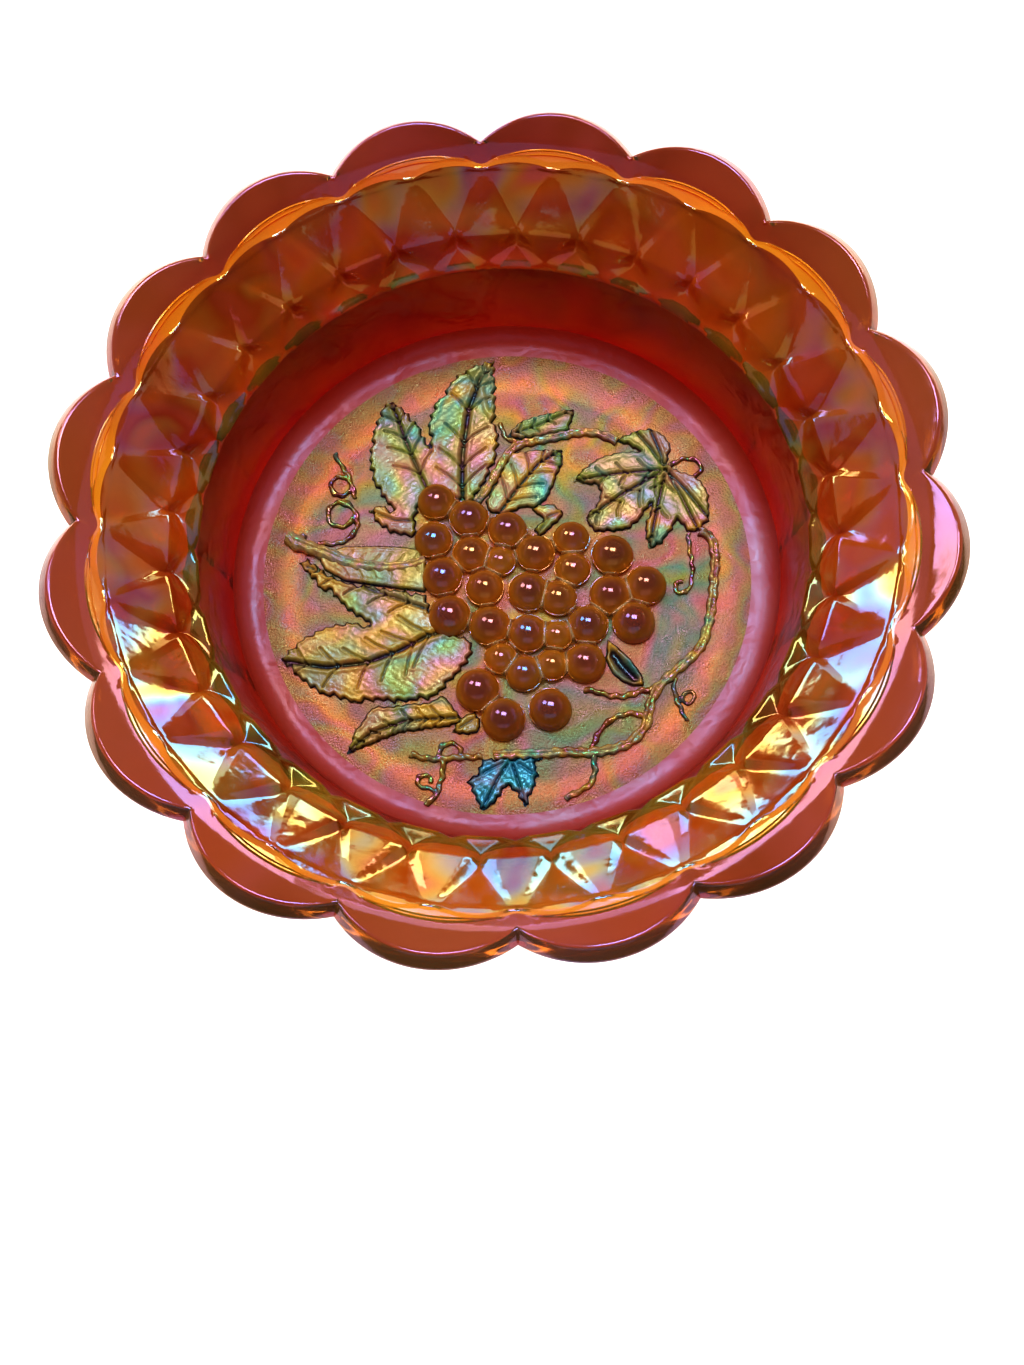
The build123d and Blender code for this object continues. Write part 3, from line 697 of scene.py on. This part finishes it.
def slab(name, outline, top):
    """A closed, evenly meshed solid from an outline, sunk a little into the floor."""
    bpy.ops.object.select_all(action="DESELECT")
    bpy.ops.mesh.primitive_circle_add(vertices=len(outline), fill_type="NGON")
    piece = bpy.context.object
    piece.name = name
    flat = np.column_stack([outline, np.full(len(outline), FLOOR_Z - SUNK)]) * MM
    piece.data.vertices.foreach_set("co", flat.ravel())
    bpy.ops.object.mode_set(mode="EDIT")
    bpy.ops.mesh.select_all(action="SELECT")
    bpy.ops.mesh.extrude_region_move(
        TRANSFORM_OT_translate={"value": (0, 0, (top + SUNK) * MM)})
    bpy.ops.mesh.select_all(action="SELECT")
    bpy.ops.mesh.normals_make_consistent(inside=False)
    bpy.ops.object.mode_set(mode="OBJECT")
    reskin(piece, SKIN)
    return piece


def reskin(piece, size):
    """Melts the piece into one even skin of faces of about that size in millimetres."""
    bpy.context.view_layer.objects.active = piece
    remesh = piece.modifiers.new("even skin", "REMESH")
    remesh.mode = "VOXEL"
    remesh.voxel_size = size * MM
    remesh.use_smooth_shade = True
    bpy.ops.object.modifier_apply(modifier=remesh.name)


def points_of(piece):
    """The piece's points in millimetres."""
    co = np.empty(len(piece.data.vertices) * 3)
    piece.data.vertices.foreach_get("co", co)
    return co.reshape(-1, 3) / MM


def put_points(piece, co):
    piece.data.vertices.foreach_set("co", (co * MM).ravel())
    piece.data.update()


def soften(piece):
    """Rounds the piece a little, as the last heating in the furnace does."""
    bpy.context.view_layer.objects.active = piece
    smooth = piece.modifiers.new("fire polish", "SMOOTH")
    smooth.factor, smooth.iterations = 0.5, 1
    bpy.ops.object.modifier_apply(modifier=smooth.name)


def settle(piece, node, slot, look=None):
    """Finish, slot, body and the CAD node that the piece stands for."""
    piece.data.materials.clear()
    piece.data.materials.append(finish[look or slot])
    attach(piece, "root")
    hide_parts(node)
    print(f"{piece.name}: {len(piece.data.polygons)} faces")


def bump_line(d, height, half):
    """The height of a soft ridge, d away from its line."""
    return height * np.exp(-(d / half) ** 2)


# %% [markdown]
# On the real mould a leaf is a hollow, cut a little deeper along its rim and left standing along
# its veins. One function does the same to every leaf. Each vein is a groove with a small swelling
# at both sides, and the blade between the veins rises slowly, as a living leaf's does.

# %% Leaf maker
LEAF_RISE = 1.15


def leaf(node, outline, veins, teeth=(3.3, 1.5), folds=()):
    """veins are (half width, depth, points); folds are raised outlines on top."""
    edge = toothed(outline, *teeth)
    piece = slab(node + "_glass", edge, 1.0)
    co = points_of(piece)
    top = co[:, 2] > FLOOR_Z + 0.55
    p = co[top][:, :2]
    rim = distance(p, edge, closed=True)
    nearest = np.full(len(p), 20.0)
    pressed = np.zeros(len(p))
    for half, depth, line in veins:
        d = distance(p, line)
        if half > 0.34:
            nearest = np.minimum(nearest, d)
        pressed += bump_line(d, depth, half) - bump_line(d - half * 1.9, depth * 0.35, half * 0.8)
    swell = 0.35 * (1 - np.exp(-nearest / 2.2))
    roll = bump_line(rim - 0.8, 0.35, 0.4)
    shoulder = LEAF_RISE * np.clip(rim / 0.8, 0, 1) ** 0.8
    h = shoulder + roll + swell * np.clip(rim / 2.5, 0, 1)
    h -= np.minimum(pressed, LEAF_RISE * 0.95)
    for fold in folds:
        inside = distance(p, fold, closed=True)
        h += 0.6 * np.clip(1.2 - inside, 0, 1)
    ripple = 0.05 * np.sin(p[:, 0] * 2.1 + 1.3 * np.sin(p[:, 1] * 1.7)) * np.sin(p[:, 1] * 2.3)
    co[top, 2] = FLOOR_Z + np.maximum(h, 0.15) + ripple
    put_points(piece, co)
    soften(piece)
    return piece


def side_veins(middle, reach, count, half=0.33, depth=0.8, lean=0.9):
    """Short veins that leave a midrib on both sides, leaning towards its tip."""
    middle = np.asarray(middle, float)
    legs = np.diff(middle, axis=0)
    spots = np.linspace(0.15, 0.88, count) * (len(middle) - 1)
    veins = []
    for spot in spots:
        k = min(int(spot), len(legs) - 1)
        at = middle[k] + legs[k] * (spot - k)
        ahead = unit(legs[k])
        for turn in (1, -1):
            out = np.array([-ahead[1], ahead[0]]) * turn
            end = at + (out + ahead * lean) * reach * (1 - 0.45 * spot / (len(middle) - 1))
            veins.append((half, depth, [at, (at + end) / 2 + ahead * 0.5, end]))
    return veins


# %% [markdown]
# The two big leaves at the left carry strong midribs, drawn first, and their short side veins
# follow from those. The leaf at the right fans out from a middle.

# %% Large leaves
UPPER_MIDRIB = [(-12, 23), (-12, 30), (-11.5, 40), (-9, 55), (-5, 65), (-1.5, 70.5)]
UPPER_LOBE = [(-22.6, 27.6), (-26.4, 37.6), (-29.2, 45.3), (-31.4, 53.1), (-33.7, 59.2)]
upper = leaf("upper_leaf", [
    (-0.3, 72.2), (-0.3, 59.8), (-0.9, 49.8), (0.2, 44.2), (-1.1, 37.6), (-4.2, 30.9),
    (-8.1, 24.2), (-11.4, 22), (-24.2, 26.4), (-26.4, 19.8), (-27, 12.6), (-32, 14),
    (-35.9, 15.3), (-39.2, 19.2), (-41.4, 22.9), (-37.6, 24.2), (-33.1, 22), (-36.4, 25.9),
    (-39.2, 30.9), (-40.9, 37.6), (-40.2, 45.3), (-38.9, 51.4), (-37, 56.4), (-33.9, 60),
    (-30, 57), (-27.3, 53.7), (-24.8, 50.3), (-21.4, 42), (-22.2, 49.8), (-21.4, 53.7),
    (-19.8, 58.1), (-17.6, 59.8), (-15.3, 64.2), (-11.4, 68.1), (-5.3, 71.1)],
    [(0.9, 0.95, UPPER_MIDRIB), (0.6, 0.8, UPPER_LOBE),
     (0.4, 0.6, [(-27, 18), (-33, 18.6), (-40, 22)]), (0.7, 0.8, [(-12, 24), (-22.6, 27.6)])]
    + side_veins(UPPER_MIDRIB, 8.5, 6) + side_veins(UPPER_LOBE, 7, 5),
    folds=[[(-0.6, 71.5), (-0.5, 62), (-0.7, 55.3), (-2, 51.4), (-3.6, 54), (-5, 62),
            (-3.6, 68)]])
settle(upper, "upper_leaf", "leaf_lustre")

LOWER_MIDRIB = [(-68, -24.3), (-54.2, -27.1), (-42, -26.3), (-32, -23), (-24.2, -19.1),
                (-19.8, -18)]
LOWER_LOBE = [(-60, 5), (-50, 0.5), (-36, -5.5), (-23.6, -10.8)]
lower = leaf("lower_left_leaf", [
    (-62.9, 6.4), (-59.8, 8.1), (-55.3, 3.7), (-48.7, -0.4), (-40.9, -2.1), (-34.2, -3.6),
    (-24.2, -5.8), (-23.1, -10.2), (-22, -12.4), (-19.8, -18), (-10.9, -20.8), (-10.9, -25.2),
    (-13.1, -29.1), (-16.4, -31.9), (-19.8, -36), (-24.2, -38.6), (-29.8, -38.6),
    (-34.2, -39.1), (-39.2, -37.8), (-45.3, -38.7), (-48.7, -37.4), (-54.2, -35.8),
    (-58.1, -33.8), (-61.4, -30.8), (-64.2, -28), (-68.1, -24.1), (-65.9, -21.3),
    (-62.6, -18.6), (-58.7, -16), (-53.7, -14.2), (-48.7, -13.2), (-44.8, -13.8),
    (-40.9, -15), (-43.7, -12.2), (-47.3, -10.4), (-49.8, -6.9), (-52, -5.2), (-52.6, -3.3),
    (-55.3, -3), (-58.1, 0.3), (-60.3, 3.3)],
    [(0.8, 1.0, LOWER_MIDRIB), (0.6, 0.7, LOWER_LOBE)]
    + side_veins(LOWER_MIDRIB[::-1], 9, 6) + side_veins(LOWER_LOBE[::-1], 5.5, 5))
settle(lower, "lower_left_leaf", "leaf_lustre")

FAN = (50.8, 30.3)
FAN_TIPS = [(21.9, 28.2), (24.9, 15.3), (43.6, 4.6), (58.9, 9.6), (62, 14), (42.4, 44.2),
            (46.9, 45)]
right_fan = leaf("right_leaf", [
    (36.3, 41.1), (38, 42.6), (42.4, 44.2), (46.9, 45), (50.2, 43.1), (52.7, 40.3),
    (53.1, 37.6), (51.9, 34), (51.3, 31.4), (55.8, 29.6), (59.7, 27.6), (62.2, 24.8),
    (63.2, 20.9), (63, 16.4), (62.4, 12.6), (58.9, 9.6), (55.8, 9.2), (52.7, 14),
    (51.7, 10.9), (49.1, 8.4), (47.4, 5.9), (43.6, 4.6), (42.7, 9.8), (43.3, 13.7), (45, 17),
    (45.8, 19.8), (41.3, 14), (38, 11.4), (32.4, 10.9), (27.4, 11.4), (26.3, 13.3),
    (24.9, 15.3), (26.3, 17.8), (28.6, 20), (29.7, 22), (30.2, 24.8), (29.1, 26.7),
    (26.9, 26.9), (24.7, 27.8), (21.9, 28.2), (24.1, 30.9), (26.3, 33.1), (29.1, 34.8),
    (31.3, 36.1), (34.7, 37), (40.2, 37.6), (43.6, 37), (40.2, 39.2)],
    [(0.5, 0.85, [FAN, ((FAN[0] + x) / 2, (FAN[1] + y) / 2 + 0.8), (x, y)]) for x, y in FAN_TIPS]
    + side_veins([FAN, (36, 29.5), (23, 28.4)], 4.5, 4)
    + side_veins([FAN, (40, 22), (26, 15.6)], 5, 4)
    + side_veins([FAN, (48, 18), (44, 6)], 4, 3), teeth=(2.8, 0.8))
settle(right_fan, "right_leaf", "leaf_lustre")

# %% [markdown]
# The smaller leaves are made with the same tool. The one along the twig is plain, and the bud
# leaf beside the cluster is a hollow with a rim.

# %% Smaller leaves
SMALL_LEAVES = {
    "centre_leaf": ([
        (3.6, 39.2), (6.9, 39.6), (13.6, 39.8), (19.7, 39.2), (19.3, 34.2), (17.2, 30.3),
        (15.8, 26.4), (13.8, 22.9), (10.2, 20), (6.9, 20.7), (3, 19.2), (-0.3, 18.1),
        (-4.2, 19.8), (-5.3, 23.1), (-2, 28.7), (1.3, 35.3)],
        [(0.55, 0.8, [(-1, 19), (5, 27), (12, 35), (18.5, 38.6)])]
        + side_veins([(-1, 19), (5, 27), (12, 35), (18.5, 38.6)], 7, 5)),
    "small_top_leaf": ([
        (2.4, 44.8), (4.4, 47.6), (6.9, 49.8), (10.2, 51.1), (15.8, 52.2), (21.3, 53.1),
        (24.4, 52.9), (23.3, 49.8), (21.9, 45.3), (18, 44.8), (12.4, 43.9), (6.9, 43.5)],
        [(0.4, 0.6, [(3, 45.2), (12, 47.6), (24, 52.6)])]
        + side_veins([(3, 45.2), (12, 47.6), (24, 52.6)], 3, 4)),
    "cluster_bract": ([
        (8.6, 19.8), (11.3, 21.4), (15.8, 21.1), (18.9, 18.1), (16.9, 15.3), (13.6, 12.6),
        (10.8, 10.3), (9.1, 13.1), (12.4, 16.4)], [(0.4, 0.5, [(11, 12), (14, 17), (18, 18.2)])]),
    "twig_leaf": ([
        (-57, 8.4), (-48.7, 11.2), (-43.1, 10.9), (-37.6, 10.7), (-29.8, 9.8), (-25.9, 8.7),
        (-23.7, 4.2), (-24.2, -5.2), (-34.2, -3.3), (-40.9, -1.9), (-48.7, -0.2), (-54.8, 3.7)],
        side_veins([(-55, 6), (-40, 3.8), (-25, 4.4)], 4.6, 6, 0.28, 0.35)),
    "lower_leaf_tip": ([
        (-48.7, -53.8), (-47.3, -50.2), (-46.2, -46.9), (-43.3, -43.3), (-42, -41.1),
        (-39.2, -39.2), (-37.6, -40), (-34.2, -39.8), (-29.8, -39.4), (-24.2, -39.4),
        (-19.8, -37.3), (-15.3, -43.6), (-14.2, -45.2), (-17.6, -46.9), (-24.2, -47.4),
        (-33.1, -48.2), (-40.9, -51)],
        [(0.6, 0.8, [(-48, -53), (-41, -47.6), (-31, -44.6), (-22, -44.4), (-15.5, -44.4)])]
        + side_veins([(-15.5, -44.4), (-31, -44.6), (-47, -52)], 4, 6)),
    "small_sepal": ([
        (-17.8, -48.9), (-16.4, -45.8), (-13.7, -43.8), (-10.9, -42.7), (-9.2, -45.8),
        (-9.8, -49.1), (-13.7, -49.7)], [(0.35, 0.5, [(-17, -48.5), (-10, -44.5)])]),
    "bottom_leaf": ([
        (-9.2, -56.9), (-10.9, -60.8), (-14, -63.3), (-12.2, -67.4), (-9.8, -72.4),
        (-5.3, -69.3), (-2.2, -64.9), (0.2, -68), (2.7, -72), (4.7, -67.4), (6.9, -62.4),
        (5.8, -58.8), (8.6, -57.6), (2.7, -57.2), (-4, -57)],
        [(0.4, 0.7, [(-1, -57.5), (-5, -63), (-9.6, -71.4)]), (0.4, 0.7, [(-1, -57.5), (2.6, -71)]),
         (0.35, 0.5, [(-1, -57.5), (-13, -63)]), (0.35, 0.5, [(-1, -57.5), (6, -62.6)])]),
    "bud_leaf": ([
        (29.1, -23), (32.4, -26), (35.8, -30), (38.6, -34.7), (38.9, -37.8), (35.8, -38),
        (32.4, -36.3), (29.7, -33.6), (28, -29.1)],
        [(2.2, 0.9, [(30.5, -28), (33, -32), (36, -35.6)])]),
}
TEETH = {"twig_leaf": (3.0, 0.15), "bud_leaf": (3.0, 0.15), "bottom_leaf": (2.8, 1.2)}
for node, (outline, veins) in SMALL_LEAVES.items():
    settle(leaf(node, outline, veins, TEETH.get(node, (2.6, 0.6))), node, "leaf_lustre",
           "blue_leaf" if node == "bottom_leaf" else None)

# %% [markdown]
# ## Grapes
# The cluster is twenty-nine domes pressed so close that thin webs of glass stand between them.
# Balls are added one by one and joined, and the Remesh modifier melts them into one skin. Then
# the valleys are filled up to the height of the webs.

# %% Grape cluster
GRAPES = [(-20.1, 23.9, 6.0), (-10.3, 17.6, 6.2), (1.3, 13.1, 6.1), (-21.4, 11.2, 6.0),
          (-10.0, 5.9, 5.9), (-1.4, 3.1, 4.9), (9.3, 5.0, 6.0), (20.4, 9.2, 5.7),
          (32.4, 3.1, 6.5), (-19.0, -0.8, 6.3), (-6.4, -5.2, 5.9), (6.6, -7.2, 6.3),
          (20.2, -0.8, 5.6), (15.4, -9.7, 5.7), (30.8, -9.7, 6.3), (41.7, -7.2, 6.3),
          (-17.2, -13.3, 6.5), (-5.3, -17.2, 6.3), (5.8, -20.2, 6.0), (23.6, -18.6, 6.2),
          (37.2, -18.6, 6.5), (14.4, -21.3, 4.8), (-2.6, -27.4, 5.0), (4.1, -32.4, 5.6),
          (12.4, -30.2, 5.0), (22.1, -30.2, 6.2), (-9.8, -36.6, 6.6), (11.1, -43.6, 6.4),
          (-2.6, -45.8, 6.5)]
GRAPE_TALL, GRAPE_R, GRAPE_SKIN = 5.8, 6.2, 0.36
WEB, WEB_RIDGE = 4.0, 2.2
bpy.ops.object.select_all(action="DESELECT")
balls = []
for x, y, r in GRAPES:
    bpy.ops.mesh.primitive_uv_sphere_add(segments=28, ring_count=16, radius=r * MM,
                                         location=(x * MM, y * MM, FLOOR_Z * MM))
    ball = bpy.context.object
    bpy.ops.object.mode_set(mode="EDIT")
    bpy.ops.transform.resize(value=(1, 1, GRAPE_TALL / GRAPE_R))
    bpy.ops.mesh.select_all(action="SELECT")
    bpy.ops.mesh.bisect(plane_co=(0, 0, (FLOOR_Z - SUNK) * MM), plane_no=(0, 0, 1),
                        clear_inner=True, use_fill=True)
    bpy.ops.object.mode_set(mode="OBJECT")
    balls.append(ball)
for ball in balls:
    ball.select_set(True)
bpy.context.view_layer.objects.active = balls[0]
bpy.ops.object.join()
grapes = bpy.context.object
grapes.name = "grape_cluster_glass"
bpy.ops.object.transform_apply(location=True, rotation=True, scale=True)
reskin(grapes, GRAPE_SKIN)
co = points_of(grapes)
centres = np.array(GRAPES)
gaps = np.linalg.norm(co[:, None, :2] - centres[None, :, :2], axis=2) - centres[None, :, 2]
gaps.sort(axis=1)
between = gaps[:, 1] - gaps[:, 0]
crowd = np.clip((3.8 - gaps[:, 1]) / 1.2, 0, 1)
web = FLOOR_Z + crowd * (WEB - WEB_RIDGE + bump_line(between, WEB_RIDGE, 0.75))
upper_side = co[:, 2] > FLOOR_Z + 0.2
co[:, 2] = np.where(upper_side, np.maximum(co[:, 2], web), co[:, 2])
put_points(grapes, co)
soften(grapes)
# Where the webs stand, for the pale painted highlight of the grape finish.
web_highlight_marks = grapes.data.attributes.new("web", "FLOAT", "POINT")
web_highlight_marks.data.foreach_set("value", (bump_line(between, 1.0, 0.8) * crowd
                                 * (co[:, 2] < web + 0.8)).astype(np.float32))
settle(grapes, "grape_cluster", "grape_glass")

# %% [markdown]
# ## Vines, twigs and tendrils
# A strand is a rounded rib that wanders over the floor. A curve with a bevel makes a tube along
# its points. Strands of one piece cross and join, so they are turned to meshes, joined, and
# reskinned, and the thicker ones get a shallow groove along the top, as bark has.

# %% Strand tools
STRAND_SKIN, WANDER = 0.3, 0.22


def tube(points, width):
    """A half-sunk tube along points, thinner towards its end if width is a pair."""
    first, last = width if isinstance(width, tuple) else (width, width)
    bpy.ops.object.select_all(action="DESELECT")
    bpy.ops.curve.primitive_nurbs_path_add()
    line = bpy.context.object
    data = line.data
    data.splines.clear()
    spline = data.splines.new("NURBS")
    spline.points.add(len(points) - 1)
    for i, ((x, y), point) in enumerate(zip(points, spline.points)):
        point.co = (x * MM, y * MM, (FLOOR_Z + 0.15) * MM, 1)
        point.radius = (first + (last - first) * i / (len(points) - 1)) / 1.7
    spline.use_endpoint_u = True
    spline.order_u = 3
    data.bevel_depth = MM
    data.bevel_resolution = 3
    data.resolution_u = 8
    data.use_fill_caps = True
    bpy.ops.object.convert(target="MESH")
    return bpy.context.object


def ring(x, y, radius):
    """A closed turn of tendril as points for a tube."""
    a = np.linspace(0, 2 * math.pi, 15)
    return [(x + radius * math.cos(v), y + radius * math.sin(v)) for v in a]


def strand(node, runs, groove=(), lift=1.0):
    """One piece from (width, points) runs. groove holds (half width, depth, points)."""
    tubes = [tube(points, width) for width, points in runs]
    bpy.ops.object.select_all(action="DESELECT")
    for t in tubes:
        t.select_set(True)
    bpy.context.view_layer.objects.active = tubes[0]
    bpy.ops.object.join()
    piece = bpy.context.object
    piece.name = node + "_glass"
    bpy.ops.object.transform_apply(location=True, rotation=True, scale=True)
    reskin(piece, STRAND_SKIN)
    co = points_of(piece)
    co[:, 0] += WANDER * np.sin(co[:, 1] * 1.5 + 0.6 * np.sin(co[:, 1] * 0.7))
    co[:, 1] += WANDER * np.sin(co[:, 0] * 1.7)
    above = co[:, 2] > FLOOR_Z + 0.1
    tall = (co[:, 2] - FLOOR_Z) * lift
    knots = 0.2 * np.sin(co[:, 0] * 1.9 + co[:, 1] * 0.7) * np.sin(co[:, 1] * 1.6)
    for half, depth, line in groove:
        tall -= bump_line(distance(co[:, :2], line), depth, half)
    co[:, 2] = np.where(above, FLOOR_Z + np.maximum(tall, 0.2) + knots * np.clip(tall, 0, 1),
                        FLOOR_Z - SUNK * np.tanh((FLOOR_Z - co[:, 2]) / SUNK))
    put_points(piece, co)
    soften(piece)
    settle(piece, node, "vine_lustre")


# %% [markdown]
# The twig at the left and the two long vines are the stout ones, so they carry the groove. The
# other strands are thin, and where a tendril curls back on itself a small ring is added.

# %% The strands
TWIG = [(-65.6, 15.3), (-63.7, 12.9), (-59.8, 11.4), (-54.2, 9), (-48.7, 6.2), (-43.1, 4.4),
        (-35.3, 3.3), (-28.7, 3.7), (-24.2, 5.1)]
STUB = [(-63.7, 12.9), (-61.5, 14.6), (-60.6, 16)]
strand("left_twig", [((4.4, 2.8), TWIG), ((2.4, 1.4), STUB)],
       [(0.5, 0.7, TWIG)], lift=1.25)
UPPER_VINE = [(-7.8, 23.3), (-4.2, 27.6), (-1.1, 33.1), (2.1, 38.7), (5.8, 42), (12.4, 42.9),
              (18, 43.7), (23.6, 44.8), (29.1, 44.8), (33.6, 43.1), (36.7, 40.9)]
strand("upper_vine", [(2.6, UPPER_VINE), (1.5, [(0.8, 49.6), (1.1, 46.4), (2.7, 44), (6, 42.2)])],
       [(0.4, 0.5, UPPER_VINE)])
RIGHT_VINE = [(58.9, 9.6), (61.6, 8.7), (63.1, 5.3), (63.1, -0.2), (62.2, -5.8), (61.1, -12.4),
              (59.7, -18.6), (57.8, -24.1), (55.6, -28), (51.3, -31.6), (46.9, -34.9),
              (42.2, -38.9), (40.4, -42.4), (39.3, -46.9), (37.8, -50.8), (33.6, -54.7),
              (27.4, -56.4), (21.3, -56.9), (14.7, -56.1), (8.6, -56.4), (2, -56.2),
              (-6, -56)]
strand("right_vine", [(2.7, RIGHT_VINE)], [(0.4, 0.55, RIGHT_VINE)])
strand("bud_stem", [
    (1.7, [(42.2, -38.9), (38, -39.1), (33.6, -40.8), (28.6, -40.4), (24.7, -38.6), (21.3, -38)]),
    (1.6, [(22.2, -56.3), (23.6, -52.4), (27.4, -47.8), (32.4, -45.8), (37.4, -46),
           (39.3, -48.6)])])
strand("left_bottom_twig", [
    (1.8, [(-30, -54.4), (-26.4, -56), (-20.9, -56.4), (-15.3, -56.1), (-9.2, -56.4)]),
    (1.4, [(-21.4, -55.8), (-21.7, -53.3), (-19.8, -51.9), (-17, -51.9), (-15.1, -53.8),
           (-15.3, -55.6)]),
    (1.6, [(-20.9, -56.4), (-20.3, -59.7), (-21.7, -63.6), (-22.6, -66.9), (-25.9, -69.7)]),
    (1.3, [(-22.2, -65.8), (-25.3, -64.7), (-27.8, -63.8), (-28.4, -61.9), (-26.7, -60.5),
           (-24.2, -61.4), (-24.2, -63.4)])])
strand("left_tendrils", [
    (1.4, [(-51.4, 42.6), (-50.6, 39.8), (-48.7, 37.3), (-47, 34), (-45.9, 30.7), (-45.3, 27)]),
    (1.4, ring(-49.6, 31.4, 3.3)), (1.4, ring(-49.7, 21.9, 4.2)),
    (1.5, [(-49.8, 25.9), (-46.9, 25), (-44.8, 21.4), (-44.4, 17.6), (-47, 13.7), (-52, 11.8),
           (-57, 12.9)])])
strand("right_tendrils", [
    (1.3, [(55.8, 9.2), (55.6, 5.3), (56.1, 0.9), (56, -4.7), (54.4, -9.1), (51.9, -10.4),
           (50, -8.2), (51.1, -5.8), (53, -6.6)]),
    (1.3, [(48, -36), (47.2, -39.1), (47.8, -42.4), (48.9, -45.8), (50.2, -48.9)]),
    (1.1, ring(51.3, -42.1, 1.8)),
    (1.7, [(22.7, -57.1), (23.1, -61.3), (22.2, -64.7), (20.2, -66.9), (17.4, -68.2),
           (13.8, -69.7)]),
    (1.4, [(51.9, 31.4), (54.4, 33.4), (58.9, 34.2), (61.7, 32), (61.5, 28.9), (59.3, 27.4)])])

# %% [markdown]
# ## Finish
# The box round the finished pieces is measured and printed in millimetres.

# %% Finish
low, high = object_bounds()
print("visual box in mm:", [[round(float(v) / MM, 2) for v in corner] for corner in (low, high)])
